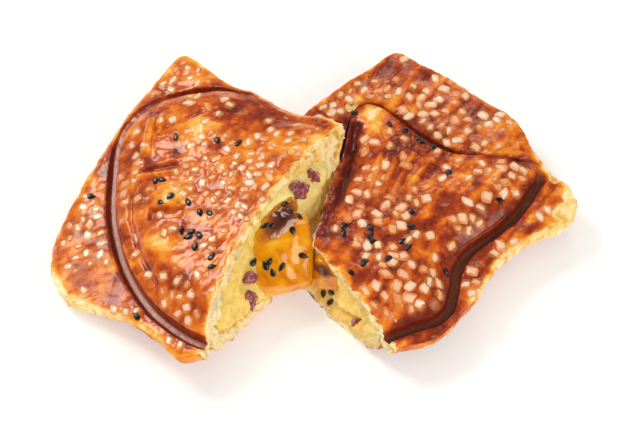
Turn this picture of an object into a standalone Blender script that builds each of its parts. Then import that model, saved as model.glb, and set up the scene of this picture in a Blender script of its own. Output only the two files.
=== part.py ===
"""Croissant taiyaki with a sweet potato filling, torn across its middle into a head half and a tail half.

The fish is pressed into a rectangular sheet of dough: a raised body, a deep pressed line round it, and a
flat flange out to the sheet's edge, the same on both faces. Each half has a frame of its own, an empty at
the middle of its torn edge on the sheet's mid-plane, in millimetres: +X runs from head to tail, +Y towards
the fish's back, +Z up. The head half lies at -X of its frame and the tail half at +X of its own.
The world is in metres, +Z up, with its origin at the bottom centre of the whole.
"""

import math

import bmesh
import bpy
import numpy as np
from mathutils import Matrix, Vector, noise

MM = 0.001

# Heights above and below the sheet's mid-plane.
FLANGE_HEIGHT = 3.2
EDGE_HEIGHT = 2.3
EDGE_BULGE = 0.9
ROUND_EDGE_HEIGHT = 3.4
GROOVE_HEIGHT = 1.0
CROWN_REACH = 9.0

# The pressed line round the fish.
GROOVE_HALF_WIDTH = 1.1
GROOVE_WALL = 1.3

# The dough round the filling, and the gap between touching solids.
CRUST = 2.3
CAVITY_REACH = 10.0
GAP = 0.35

# How the sheet is uneven.
UNEVEN_HEIGHT = 0.7
UNEVEN_LENGTH = 15.0
RAGGED_DEPTH = 1.0
RAGGED_LENGTH = 5.0
LEAN_HEIGHT = 11.0

TOP, BOTTOM = 1, -1

# Each half's shape: its frame in the world, which way is into the half, the heights of its crown at the
# tear and at the far end, where it is bent up, how far and over what distance, how far the tear leans back
# at LEAN_HEIGHT, how much of the body is hollow at the tear's two ends, how far the filling stands out of
# the tear and swells beyond that, and its stations from the tear's lower end round to its upper end. A
# station is a point on the pressed line, the matching point on the sheet's edge, and how deeply the line
# is pressed there. The spine runs from the tear to the middle of the body; its far end faces the station
# numbered fold.
HEAD = {
    "origin": (-12.90, -23.61, 15.6),
    "turn": -31.0,
    "pitch": 9.0,
    "roll": 6.0,
    "inward": -1,
    "crown": {TOP: (12.5, 10.5), BOTTOM: (9.5, 8.5)},
    "shoulder": {TOP: 5.5, BOTTOM: 3.6},
    "length": 73.0,
    "lift": ((0.0, 48.0), 4.4, 12.0),
    "lean": {TOP: 6.0, BOTTOM: -4.4},
    "lean_centre": 3.0,
    "hollow": (0.84, 0.76),
    "mouth": (0.0, 1.5),
    "spine": ((0.0, 4.0), (-43.0, 14.0)),
    "fold": 11,
    "stations": (
        ((-1.5, -38.3), (-1.5, -41.4), 1.0),
        ((-9.0, -38.3), (-7.5, -45.1), 1.0),
        ((-18.2, -36.8), (-18.0, -42.6), 1.0),
        ((-26.0, -34.3), (-30.0, -41.0), 1.0),
        ((-34.5, -30.0), (-42.0, -42.8), 1.0),
        ((-42.5, -24.5), (-53.0, -43.4), 1.0),
        ((-49.0, -18.5), (-62.0, -37.5), 1.0),
        ((-54.5, -12.5), (-68.0, -26.5), 1.0),
        ((-59.5, -5.5), (-70.6, -13.0), 1.0),
        ((-64.0, 2.5), (-71.8, -1.0), 1.0),
        ((-68.0, 10.5), (-72.2, 9.0), 0.8),
        ((-69.8, 19.0), (-72.7, 19.0), 0.6),
        ((-68.6, 27.0), (-72.4, 29.0), 0.6),
        ((-65.0, 33.4), (-71.4, 38.0), 0.8),
        ((-60.5, 38.0), (-70.9, 47.0), 1.0),
        ((-55.0, 42.0), (-68.5, 53.3), 1.0),
        ((-49.0, 45.3), (-59.0, 51.9), 1.0),
        ((-42.5, 46.8), (-47.0, 49.0), 0.6),
        ((-34.0, 46.6), (-35.0, 48.8), 0.2),
        ((-23.0, 44.6), (-23.5, 46.6), 0.0),
        ((-12.0, 45.4), (-12.0, 47.9), 0.0),
        ((-1.0, 45.0), (-1.0, 47.6), 0.0),
    ),
}
TAIL = {
    "origin": (-2.20, -27.01, 9.6),
    "turn": 43.0,
    "pitch": 0.0,
    "roll": 0.0,
    "inward": 1,
    "crown": {TOP: (11.8, 8.5), BOTTOM: (10.5, 8.0)},
    "shoulder": {TOP: 7.0, BOTTOM: 5.5},
    "length": 80.0,
    "lift": ((34.0, 30.0), -0.8, 9.0),
    "lean": {TOP: 1.2, BOTTOM: -3.4},
    "lean_centre": -10.0,
    "hollow": (0.74, 0.80),
    "mouth": (-2.6, 0.9),
    "spine": ((2.0, 1.5), (46.0, -3.0)),
    "fold": 15,
    "stations": (
        ((-0.5, -35.0), (0.8, -39.0), 1.0),
        ((8.0, -37.8), (8.5, -43.7), 1.0),
        ((15.0, -40.8), (15.0, -45.4), 1.0),
        ((21.0, -41.0), (24.5, -44.2), 1.0),
        ((27.0, -37.5), (33.0, -43.4), 1.0),
        ((33.0, -33.0), (38.5, -41.3), 1.0),
        ((40.5, -30.6), (44.5, -40.0), 1.0),
        ((49.0, -31.0), (53.0, -39.8), 1.0),
        ((58.0, -31.3), (62.0, -41.3), 1.0),
        ((67.0, -29.9), (70.5, -44.2), 1.0),
        ((74.0, -27.8), (78.5, -42.5), 1.0),
        ((78.5, -26.6), (82.8, -36.0), 1.0),
        ((79.8, -22.8), (82.2, -28.0), 0.8),
        ((77.0, -15.8), (84.0, -19.0), 1.0),
        ((70.5, -9.0), (87.5, -10.5), 1.0),
        ((65.0, -2.5), (89.5, -2.5), 1.0),
        ((62.0, 5.5), (88.0, 6.0), 1.0),
        ((60.7, 14.0), (86.6, 15.0), 1.0),
        ((60.2, 22.0), (85.0, 25.5), 1.0),
        ((59.3, 29.0), (83.0, 34.0), 1.0),
        ((56.5, 33.3), (80.2, 42.8), 1.0),
        ((51.5, 33.8), (69.0, 44.0), 1.0),
        ((46.5, 30.6), (58.0, 45.2), 1.0),
        ((42.0, 27.0), (50.0, 45.2), 1.0),
        ((37.0, 23.5), (44.0, 45.2), 1.0),
        ((30.5, 20.0), (38.0, 44.8), 1.0),
    ),
}

# Blocks in the filling: (half, centre, size, the way the thickness faces, spin about it, rounding).
CHUNKS = {
    "head_chunk": ("head", (-0.2, 1.4, -0.9), (21.5, 22.5, 8.5), (0.61, -0.22, 0.76), -32.0, 0.6),
    "tail_chunk": ("tail", (6.8, -3.8, 0.3), (10.0, 11.5, 11.0), (-0.9, -0.2, 0.3), 15.0, 0.55),
}
PURPLE_BITS = {
    "purple_bit_1": ("head", (-2.0, 20.8, 6.3), (4.8, 4.6, 5.5), (0.8, 0.0, 0.6), 20.0, 0.8),
    "purple_bit_2": ("head", (-1.5, 28.0, 4.8), (2.2, 4.6, 3.5), (0.9, 0.2, 0.4), -10.0, 0.8),
    "purple_bit_3": ("head", (-1.6, -12.4, 3.4), (3.4, 3.8, 5.5), (0.8, 0.0, 0.6), 10.0, 0.8),
    "purple_bit_4": ("head", (-0.4, -16.8, -2.0), (3.8, 6.5, 5.0), (0.9, -0.2, 0.2), -10.0, 0.8),
    "purple_bit_5": ("tail", (0.4, -21.8, -5.0), (3.0, 3.0, 3.4), (-0.9, 0.0, 0.4), 0.0, 0.8),
}
BLOCK_CUTS = 3

COLUMNS = {"head": 36, "tail": 40}
BODY_SHARES = (0.0, 0.3, 0.56, 0.8)
CAVITY_SHARES = (0.0, 0.3, 0.58, 0.82, 0.95, 1.0)


def clear_scene():
    for obj in list(bpy.data.objects):
        bpy.data.objects.remove(obj)


def material(name, colour, roughness):
    made = bpy.data.materials.new(name)
    made.use_nodes = True
    shader = made.node_tree.nodes["Principled BSDF"]
    shader.inputs["Base Color"].default_value = (*colour, 1.0)
    shader.inputs["Roughness"].default_value = roughness
    shader.inputs["Metallic"].default_value = 0.0
    return made


def through(points, fold, count):
    """count + 1 points on a Catmull-Rom curve through the given ones, half of them up to number fold."""
    known = np.array(points, float)
    known = np.vstack([2 * known[0] - known[1], known, 2 * known[-1] - known[-2]])
    last = len(points) - 1
    place = np.interp(np.linspace(0, 1, count + 1), (0, 0.5, 1), (0, fold, last))
    first = np.minimum(place.astype(int), len(points) - 2)
    t = (place - first)[:, None]
    a, b, c, d = (known[first + i] for i in range(4))
    return 0.5 * (2 * b + (c - a) * t + (2 * a - 5 * b + 4 * c - d) * t**2 + (3 * b - a - 3 * c + d) * t**3)


def unit(vectors):
    return vectors / np.linalg.norm(vectors, axis=-1, keepdims=True)


def half_lines(half, columns):
    """The spine, pressed line and edge of a half, one point of each for every column, and its press."""
    stations = [(*groove, *edge, press) for groove, edge, press in half["stations"]]
    lines = through(stations, half["fold"], columns)
    grooves, edges, presses = lines[:, :2], lines[:, 2:4], lines[:, 4].clip(0, 1)
    start, end = (np.array(p) for p in half["spine"])
    share = 1 - np.abs(1 - 2 * np.linspace(0, 1, columns + 1))
    spines = start + share[:, None] * (end - start)
    return spines, grooves, edges, presses


def uneven(x, y, seed):
    return UNEVEN_HEIGHT * noise.noise(Vector((x / UNEVEN_LENGTH, y / UNEVEN_LENGTH, seed)))


def crown(half, side, x, y, line):
    """The height of the fish's body at a point inside the pressed line."""
    near, far = half["crown"][side]
    shoulder = half["shoulder"][side]
    peak = near + (far - near) * min(abs(x) / half["length"], 1.0)
    depth = np.hypot(*(line - (x, y)).T).min() - GROOVE_HALF_WIDTH - GROOVE_WALL
    rise = 1 - math.exp(-max(depth, 0.0) / CROWN_REACH)
    return shoulder + (peak - shoulder) * rise + uneven(x, y, 3.0 * side) * rise


def behind_tear(half, x, y):
    """How far a point lies behind the torn edge, along X."""
    first, last = half["stations"][0], half["stations"][-1]
    tear = (first[1], first[0], half["spine"][0], last[0], last[1])
    return abs(x - np.interp(y, [p[1] for p in tear], [p[0] for p in tear]))


def torn(half, x, y, z, forward=0.0):
    """The point with x moved so that the torn edge leans back and is ragged, fading out into the half."""
    behind = behind_tear(half, x, y)
    span = max(1 - ((y - half["lean_centre"]) / 48.0) ** 2, 0.0)
    lean = half["lean"][TOP if z > 0 else BOTTOM] * abs(z) / LEAN_HEIGHT
    rag = RAGGED_DEPTH * noise.noise(Vector((y / RAGGED_LENGTH, z / RAGGED_LENGTH, half["turn"])))
    back = lean * span * math.exp(-behind / 14.0) + rag * math.exp(-behind / 4.0)
    (lift_x, lift_y), lift, reach = half["lift"]
    raised = lift * math.exp(-((x - lift_x) ** 2 + (y - lift_y) ** 2) / reach**2)
    return (x + half["inward"] * (back - forward * math.exp(-behind / 8.0)), y, z + raised)


class Shell:
    """A closed quilt-like solid over a half: rows of points from the spine outwards, above and below."""

    def __init__(self, columns):
        self.columns = columns
        self.mesh = bmesh.new()
        self.made = {}

    def row(self, points):
        """One vertex for each column."""
        return [self.mesh.verts.new(p) for p in points]

    def spine_row(self, points):
        """The spine's row, where the columns of its two sides share their vertices."""
        half = self.columns // 2
        made = [self.mesh.verts.new(p) for p in points[: half + 1]]
        return made + [made[self.columns - k] for k in range(half + 1, self.columns + 1)]

    def face(self, *corners):
        kept = [v for i, v in enumerate(corners) if v is not corners[i - 1]]
        if len(kept) > 2:
            self.mesh.faces.new(kept)

    def quilt(self, rows):
        """Faces between neighbouring rows."""
        for inner, outer in zip(rows, rows[1:]):
            for k in range(self.columns):
                self.face(inner[k], inner[k + 1], outer[k + 1], outer[k])

    def tear(self, above, below, levels, place):
        """Closes the torn side between the rows above and below, with levels - 1 lines of points between."""
        for column in (0, self.columns):
            columns = []
            for top, low in zip(above, below):
                upper, lower = top[column], low[column]
                if upper is lower:
                    columns.append([upper] * (levels + 1))
                else:
                    middle = [self.between(upper, lower, i / levels, place) for i in range(1, levels)]
                    columns.append([upper, *middle, lower])
            for left, right in zip(columns, columns[1:]):
                for i in range(levels):
                    self.face(left[i], right[i], right[i + 1], left[i + 1])

    def between(self, upper, lower, share, place):
        """A vertex between two others, moved by place(), made once for each pair and share."""
        key = (upper, lower, share)
        if key not in self.made:
            self.made[key] = self.mesh.verts.new(place(upper.co.lerp(lower.co, share), share))
        return self.made[key]

    def pushed(self, rows, out):
        """The torn ends of the rows carried outwards, joined to them by a wall."""

        def copy(vertex):
            if vertex not in self.made:
                self.made[vertex] = self.mesh.verts.new(vertex.co + out)
            return self.made[vertex]

        for column in (0, self.columns):
            for inner, outer in zip(rows, rows[1:]):
                self.face(inner[column], outer[column], copy(outer[column]), copy(inner[column]))
        return [{column: copy(row[column]) for column in (0, self.columns)} for row in rows]

    def finish(self, name):
        bmesh.ops.recalc_face_normals(self.mesh, faces=self.mesh.faces)
        bmesh.ops.triangulate(self.mesh, faces=[f for f in self.mesh.faces if len(f.verts) > 3])
        if self.mesh.calc_volume(signed=True) < 0:
            bmesh.ops.reverse_faces(self.mesh, faces=self.mesh.faces)
        made = bpy.data.meshes.new(name)
        self.mesh.to_mesh(made)
        self.mesh.free()
        return made


def crust_rows(half, side, shell, lines):
    """The rows of one face of the sheet, from the spine over the body, the pressed line and the flange."""
    spines, grooves, edges, presses = lines
    inwards, outwards = unit(spines - grooves), unit(edges - grooves)
    width = np.linalg.norm(edges - grooves, axis=1, keepdims=True)
    shoulders = grooves + inwards * (GROOVE_HALF_WIDTH + GROOVE_WALL)
    floor_out = grooves + outwards * np.minimum(GROOVE_HALF_WIDTH, 0.3 * width)
    flange_in = grooves + outwards * np.minimum(GROOVE_HALF_WIDTH + GROOVE_WALL, 0.6 * width)
    plan = [spines + share * (shoulders - spines) for share in BODY_SHARES]
    plan += [shoulders, grooves + inwards * GROOVE_HALF_WIDTH, floor_out, flange_in]
    plan += [(flange_in + edges) / 2, edges]
    shoulder = half["shoulder"][side]
    pressed = (GROOVE_HEIGHT, GROOVE_HEIGHT, FLANGE_HEIGHT, FLANGE_HEIGHT, EDGE_HEIGHT)
    smooth = [shoulder + share * (ROUND_EDGE_HEIGHT - shoulder) for share in (0.1, 0.25, 0.45, 0.7, 1.0)]
    rows = []
    for i, places in enumerate(plan):
        points = []
        for (x, y), press in zip(places, presses):
            beyond = i - len(BODY_SHARES) - 1
            if beyond < 0:
                height = crown(half, side, x, y, grooves) if i < len(BODY_SHARES) else shoulder
            else:
                height = smooth[beyond] + press * (pressed[beyond] - smooth[beyond])
                height += uneven(x, y, 7.0) if beyond in (2, 3) else 0.0
            points.append(torn(half, x, y, side * height))
        rows.append(shell.spine_row(points) if i == 0 else shell.row(points))
    return rows


def crust_shell(half, columns):
    """The whole half as one solid, with no cavity yet."""
    lines = half_lines(half, columns)
    shell = Shell(columns)
    above = crust_rows(half, TOP, shell, lines)
    below = crust_rows(half, BOTTOM, shell, lines)
    rim = lines[2] + unit(lines[2] - lines[0]) * EDGE_BULGE
    middle = shell.row([torn(half, x, y, 0.0) for x, y in rim])
    shell.quilt([*above, middle])
    shell.quilt([*below, middle])
    shell.tear([*above, middle], [*below, middle], 1, None)
    return shell.finish("crust")


def core_shell(half, columns, shrink, levels=1, reach=0.0):
    """The filling's shape; or with shrink 0 and a reach out past the tear, the cavity that it sits in."""
    spines, grooves = half_lines(half, columns)[:2]
    hollow = np.linspace(*half["hollow"], columns + 1)[:, None]
    outline = spines + (grooves - spines) * hollow
    outline -= unit(outline - spines) * shrink
    forward, bulge = half["mouth"]
    shell = Shell(columns)
    sides = []
    for side in (TOP, BOTTOM):
        rows = []
        for share in CAVITY_SHARES[:-1]:
            points = []
            for x, y in spines + share * (outline - spines):
                height = (crown(half, side, x, y, grooves) - CRUST - shrink) * math.sqrt(1 - share**4)
                points.append(torn(half, x, y, side * height, forward))
            rows.append(shell.spine_row(points) if share == 0 else shell.row(points))
        sides.append(rows)
    last = shell.row([torn(half, x, y, 0.0, forward) for x, y in outline])
    above, below = ([*rows, last] for rows in sides)
    shell.quilt(above)
    shell.quilt(below)
    if reach:
        above, below = (shell.pushed(rows, Vector((-half["inward"] * reach, 0, 0))) for rows in (above, below))

    def swell(point, share):
        lump = 1 + 0.5 * noise.noise(point / 6.0)
        return point - Vector((half["inward"] * bulge * lump * math.sin(math.pi * share), 0, 0))

    shell.tear(above, below, levels, swell)
    return shell.finish("core")


def block_mesh(name, size, rounding, seed, grow=0.0):
    """A rough block of that size, rounded from a box towards a ball, larger all round by grow."""
    made = bmesh.new()
    bmesh.ops.create_cube(made, size=2.0)
    bmesh.ops.subdivide_edges(made, edges=made.edges, cuts=BLOCK_CUTS, use_grid_fill=True)
    for v in made.verts:
        ball = v.co.normalized() * 1.2
        shape = v.co.lerp(ball, rounding)
        shape *= 1 + 0.08 * noise.noise(shape * 1.3 + Vector((7 * seed, 0, 0)))
        v.co = Vector(shape[i] * (size[i] / 2 + grow) for i in range(3))
    mesh = bpy.data.meshes.new(name)
    made.to_mesh(mesh)
    made.free()
    return mesh


def half_frame(name, half):
    """The empty that carries a half: turned about Z, then pitched and rolled as the half leans."""
    frame = bpy.data.objects.new(name, None)
    bpy.context.scene.collection.objects.link(frame)
    turn = Matrix.Rotation(math.radians(half["turn"]), 4, "Z")
    pitch = Matrix.Rotation(math.radians(-half["pitch"]), 4, "Y")
    roll = Matrix.Rotation(math.radians(half["roll"]), 4, "X")
    place = Matrix.Translation(Vector(half["origin"]) * MM)
    frame.matrix_world = place @ turn @ pitch @ roll @ Matrix.Scale(MM, 4)
    return frame


def add(name, mesh, frame, finish, place=None):
    """An object carried by a half's frame, in its millimetres."""
    obj = bpy.data.objects.new(name, mesh)
    bpy.context.scene.collection.objects.link(obj)
    obj.parent = frame
    if place is not None:
        obj.matrix_local = place
    if finish:
        mesh.materials.append(finish)
        mesh.shade_smooth()
        mesh.set_sharp_from_angle(angle=math.radians(40))
    else:
        obj.hide_render = True
        obj.display_type = "WIRE"
    return obj


def cut(obj, cutter):
    made = obj.modifiers.new(cutter.name, "BOOLEAN")
    made.operation = "DIFFERENCE"
    made.object = cutter
    made.solver = "EXACT"


def settle(mesh, frame):
    """Flattens what would lie below the table on to it, as soft dough does."""
    to_world = frame.matrix_world
    back = to_world.inverted()
    for v in mesh.vertices:
        world = to_world @ v.co
        if world.z < 0:
            world.z = 0.0
            v.co = back @ world


def block_place(centre, facing, spin):
    turn = Vector(facing).to_track_quat("Z", "Y").to_matrix().to_4x4()
    return Matrix.Translation(Vector(centre)) @ turn @ Matrix.Rotation(math.radians(spin), 4, "Z")


def build():
    clear_scene()
    crust = material("baked_crust", (0.52, 0.21, 0.06), 0.35)
    paste = material("sweet_potato_paste", (0.76, 0.56, 0.16), 0.6)
    glazed = material("glazed_sweet_potato", (0.72, 0.36, 0.03), 0.2)
    purple = material("purple_sweet_potato", (0.27, 0.07, 0.10), 0.5)
    frames, crusts, fillings = {}, {}, {}
    for name, half in (("head", HEAD), ("tail", TAIL)):
        frame = frames[name] = half_frame(f"{name}_half", half)
        columns = COLUMNS[name]
        shell = crust_shell(half, columns)
        bpy.context.view_layer.update()
        settle(shell, frame)
        crusts[name] = add(f"{name}_crust", shell, frame, crust)
        cavity = add(f"{name}_cavity", core_shell(half, columns, 0.0, reach=CAVITY_REACH), frame, None)
        cut(crusts[name], cavity)
        core = core_shell(half, columns, GAP, levels=4)
        fillings[name] = add(f"{name}_filling", core, frame, paste)
    for blocks, finish in ((CHUNKS, glazed), (PURPLE_BITS, purple)):
        for seed, (name, (owner, centre, size, facing, spin, rounding)) in enumerate(blocks.items()):
            place = block_place(centre, facing, spin)
            add(name, block_mesh(name, size, rounding, seed), frames[owner], finish, place)
            pocket = block_mesh(f"{name}_pocket", size, rounding, seed, grow=GAP)
            pocket = add(f"{name}_pocket", pocket, frames[owner], None, place)
            cut(fillings[owner], pocket)
            cut(crusts[owner], pocket)


build()
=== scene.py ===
"""Looks of the croissant taiyaki: the baked crust of its two torn halves, the filling that shows at the
tear, and the sugar, sesame, syrup and crumbs on them.

Each half is worked out in its own frame, in millimetres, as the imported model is: +X runs from head to tail,
+Y towards the fish's back, +Z up, with the origin in the middle of the torn edge on the sheet's mid-plane.
The head half lies at -X of its frame and the tail half at +X of its own.
"""

import math

import bmesh
import bpy
import numpy as np
from mathutils import Matrix, Vector, noise
from mathutils.bvhtree import BVHTree


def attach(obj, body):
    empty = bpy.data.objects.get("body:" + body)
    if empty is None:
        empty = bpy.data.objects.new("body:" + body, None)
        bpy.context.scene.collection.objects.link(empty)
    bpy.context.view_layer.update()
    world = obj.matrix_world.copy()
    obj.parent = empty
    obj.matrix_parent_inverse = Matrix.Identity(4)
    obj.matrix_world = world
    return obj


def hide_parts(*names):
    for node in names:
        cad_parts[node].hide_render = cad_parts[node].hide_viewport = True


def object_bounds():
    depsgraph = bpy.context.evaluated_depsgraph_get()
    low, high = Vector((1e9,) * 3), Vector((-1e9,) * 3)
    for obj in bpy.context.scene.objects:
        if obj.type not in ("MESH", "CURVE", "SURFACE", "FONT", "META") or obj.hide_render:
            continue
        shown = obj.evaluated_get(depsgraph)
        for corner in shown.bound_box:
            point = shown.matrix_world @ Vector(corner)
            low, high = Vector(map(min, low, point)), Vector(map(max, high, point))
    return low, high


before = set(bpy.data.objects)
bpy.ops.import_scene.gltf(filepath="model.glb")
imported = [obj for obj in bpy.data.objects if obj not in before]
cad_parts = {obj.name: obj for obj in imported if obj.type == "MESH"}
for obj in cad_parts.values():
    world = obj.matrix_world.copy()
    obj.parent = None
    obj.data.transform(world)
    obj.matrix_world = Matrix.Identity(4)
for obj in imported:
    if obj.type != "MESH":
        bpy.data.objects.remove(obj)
cad_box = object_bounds()

MM = 0.001
TOP, BOTTOM = 1, -1

# ---------------------------------------------------------------- sizes, in millimetres

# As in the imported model, but for the pressed line, which is a little narrower here.
FLANGE_HEIGHT = 3.2
EDGE_HEIGHT = 2.3
EDGE_BULGE = 0.9
CUT_SLANT = 0.7
UNDERCUT = 1.3
ROUND_EDGE_HEIGHT = 3.4
GROOVE_HEIGHT = 1.0
CROWN_REACH = 9.0
GROOVE_HALF_WIDTH = 1.0
GROOVE_WALL = 1.1
CRUST = 2.3
UNEVEN_HEIGHT = 0.7
UNEVEN_LENGTH = 15.0
RAGGED_DEPTH = 1.0
RAGGED_LENGTH = 5.0
LEAN_HEIGHT = 11.0

# A station is (pressed line's x, y, sheet's edge's x, y, how deeply the line is pressed). They run round each
# half from one end of the tear to the other.
HEAD = {
    "origin": (-12.90, -23.61, 15.6),
    "turn": -31.0,
    "pitch": 9.0,
    "roll": 6.0,
    "inward": -1,
    "stretch": 31.0,
    "drawn": 0.45,
    "crown": {TOP: (12.5, 10.5), BOTTOM: (9.5, 8.5)},
    "shoulder": {TOP: 5.5, BOTTOM: 3.6},
    "length": 73.0,
    "lift": ((0.0, 48.0), 4.4, 12.0),
    "lean": {TOP: 6.0, BOTTOM: -4.4},
    "lean_centre": 3.0,
    "hollow": (0.84, 0.76),
    "filled": (-16.0, 36.0),
    "mouth": (0.0, 1.5),
    "spine": ((0.0, 4.0), (-43.0, 14.0)),
    "fold": 11,
    "stations": (
        (-1.5, -38.3, -1.5, -41.4, 1), (-9, -38.3, -7.5, -45.1, 1), (-18.2, -36.8, -18, -42.6, 1),
        (-26, -34.3, -30, -41, 1), (-34.5, -30, -42, -42.8, 1), (-42.5, -24.5, -53, -43.4, 1),
        (-49, -18.5, -62, -37.5, 1), (-54.5, -12.5, -68, -26.5, 1), (-59.5, -5.5, -70.6, -13, 1),
        (-64, 2.5, -71.8, -1, 0.9), (-68, 10.5, -72.2, 9, 0.65), (-69.8, 19, -72.7, 19, 0.4),
        (-68.6, 27, -72.4, 29, 0.4), (-65, 33.4, -71.4, 38, 0.55), (-60.5, 38, -70.9, 47, 0.75),
        (-55, 42, -68.5, 53.3, 0.8), (-49, 45.3, -59, 51.9, 0.8), (-42.5, 46.8, -47, 49, 0.6),
        (-34, 46.6, -35, 48.8, 0.2), (-23, 44.6, -23.5, 46.6, 0), (-12, 45.4, -12, 47.9, 0),
        (-1, 45, -1, 47.6, 0),
    ),
}
TAIL = {
    "origin": (-2.20, -27.01, 9.6),
    "turn": 43.0,
    "pitch": 0.0,
    "roll": 0.0,
    "inward": 1,
    "stretch": 14.0,
    "drawn": 1.0,
    "crown": {TOP: (11.8, 8.5), BOTTOM: (10.5, 8.0)},
    "shoulder": {TOP: 7.0, BOTTOM: 5.5},
    "length": 80.0,
    "lift": ((34.0, 30.0), -0.8, 9.0),
    "lean": {TOP: 1.2, BOTTOM: -3.4},
    "lean_centre": -10.0,
    "hollow": (0.74, 0.80),
    "filled": (-34.0, 30.0),
    "mouth": (-2.6, 0.9),
    "spine": ((2.0, 1.5), (46.0, -3.0)),
    "fold": 15,
    "stations": (
        (-0.5, -35, 0.8, -39, 1), (8, -37.8, 8.5, -43.7, 1), (15, -40.8, 15, -45.4, 1),
        (21, -41, 24.5, -44.2, 1), (27, -37.5, 33, -43.4, 1), (33, -33, 38.5, -41.3, 1),
        (40.5, -30.6, 44.5, -40, 1), (49, -31, 53, -39.8, 1), (58, -31.3, 62, -41.3, 1),
        (67, -29.9, 70.5, -44.2, 1), (74, -27.8, 78.5, -42.5, 1), (78.5, -26.6, 82.8, -36, 0.9),
        (79.8, -22.8, 82.2, -28, 0), (77, -15.8, 84, -19, 0.8), (70.5, -9, 87.5, -10.5, 1),
        (65, -2.5, 89.5, -2.5, 1), (62, 5.5, 88, 6, 1), (60.7, 14, 86.6, 15, 1),
        (60.2, 22, 85, 25.5, 1), (59.3, 29, 83, 34, 1), (56.5, 33.3, 80.2, 42.8, 1),
        (51.5, 33.8, 69, 44, 1), (46.5, 30.6, 58, 45.2, 1), (42, 27, 50, 45.2, 1),
        (37, 23.5, 44, 45.2, 1), (30.5, 20, 38, 44.8, 1),
    ),
}

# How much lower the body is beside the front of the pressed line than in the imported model, and how far in.
EASED = {"head": 0.0, "tail": 2.2}
EASED_REACH = 3.2

# A crease beside the tail half's tear, where the head half hides the pressed line. It is painted dark, as
# painted shade of the head half over it.
SEAM = ((12.0, 5.0), (21.0, 9.0), (30.4, 15.2), (38.0, 20.8), (47.0, 27.4))

# How deep the paste lies round each half's chunk.
PASTE_NEST = {"head": 2.6, "tail": 1.0}

# Blocks in the filling: (centre, size, the way the thickness faces, spin about it, rounding).
CHUNKS = {
    "head": ((0.3, 1.0, -0.7), (22.5, 23.5, 9.0), (0.61, -0.22, 0.76), -32.0, 0.6),
    "tail": ((6.8, -3.8, 0.3), (10.0, 11.5, 11.0), (-0.9, -0.2, 0.3), 15.0, 0.55),
}
PURPLE_BITS = (
    ("head", (-2.0, 20.8, 6.3), (4.8, 4.6, 5.5), (0.8, 0.0, 0.6), 20.0, 0.8),
    ("head", (-1.5, 28.0, 4.8), (2.2, 4.6, 3.5), (0.9, 0.2, 0.4), -10.0, 0.8),
    ("head", (-1.6, -12.4, 3.4), (3.4, 3.8, 5.5), (0.8, 0.0, 0.6), 10.0, 0.8),
    ("head", (-0.4, -16.8, -2.0), (3.8, 6.5, 5.0), (0.9, -0.2, 0.2), -10.0, 0.8),
    ("tail", (0.4, -21.8, -5.0), (3.0, 3.0, 3.4), (-0.9, 0.0, 0.4), 0.0, 0.8),
)

# The blocks' surfaces: into how many parts an edge is cut, how rough they are, and how large their lumps are.
CHUNK_SURFACE = (22, 0.35, 3.0)
PURPLE_SURFACE = (14, 1.1, 1.6)

# ---------------------------------------------------------------- the visual meshes' resolution

COLUMNS = 360
BODY_ROWS = 64
KNOT_ROWS = (6, 4, 6, 9, 5)
TEAR_LEVELS = 36
CORE_COLUMNS = 60
CORE_ROWS = 56
CORE_LEVELS = 40
PUDDLE_RINGS = 16
PUDDLE_SPOKES = 56

# ---------------------------------------------------------------- where the bake left its marks

# How browned each half is, and where more or less so: spots of (x, y, radius, amount). Two of the tail's
# spots are also painted shade, where the head half shades it.
BROWN = {"head": 0.53, "tail": 0.65}
BROWNING_AND_SHADE_SPOTS = {
    "head": (
        (-33, 39, 6, 0.2), (-24, 40, 6, 0.2), (-47, 32, 5, 0.14), (-51, 23, 3, 0.12), (-48, 8, 5, 0.12),
        (-42, 28, 5, -0.2), (-36, 0, 5, -0.14), (-16, -24, 7, 0.12), (-52, -11, 4, 0.08),
        (-49, -22, 6, 0.08), (-57, -32, 3.5, 0.24), (-49, -37, 3, 0.24), (-44, -30, 5, -0.1),
        (-62, 38, 5, 0.08), (-58, 34, 4, 0.16), (-5, 30, 6, -0.08), (-62, -18, 13, 0.2),
        (-30, -38, 8, 0.12),
    ),
    "tail": (
        # The spots at (6, 15) and (9, 3) are deeper browning and painted shade where the head half shades the
        # tail.
        (6, 15, 12, 0.42), (11, -4, 4, 0.14), (25, 2, 4, 0.14), (50, 8, 6, 0.15), (32, -5, 4, 0.12),
        (44, -14, 3.5, 0.18), (50, -15, 3, 0.16), (49.5, -24, 3.5, 0.16), (57, -14, 4, 0.1),
        (48, 22, 3, -0.12), (57, 27, 5, -0.2), (40, 3, 5, -0.08), (66, 14, 8, 0.1), (75, 38, 6, 0.12),
        (30, -29, 6, 0.08), (84, -8, 6, -0.1), (14, -42, 8, 0.14), (60, -36, 6, 0.02),
        (68, -36, 6, 0.04), (77, -31, 5, 0.08), (50, -37, 4, -0.15), (41, -36, 3, -0.14),
        (66, -17, 9, -0.16), (9, 3, 5, 0.26), (17, -22, 10, 0.14), (80.5, -22.5, 4, -0.45),
        (37, 24, 3.5, -0.1), (53, 28.5, 4.5, -0.28), (51, 21.5, 3.5, -0.2), (34, 19, 3, -0.24),
    ),
}

# How much darker the crust is beside the pressed line, and how far: inside it, then outside. The darkening is
# deeper browning there and also painted shade of the groove's walls.
BROWN_AND_SHADE_BESIDE_GROOVE = {"head": (0.06, 1.5, 0.34, 1.5), "tail": (0.30, 2.3, 0.30, 0.8)}
GOLDEN_EDGE = {"head": 0.26, "tail": 0.16}

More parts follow.
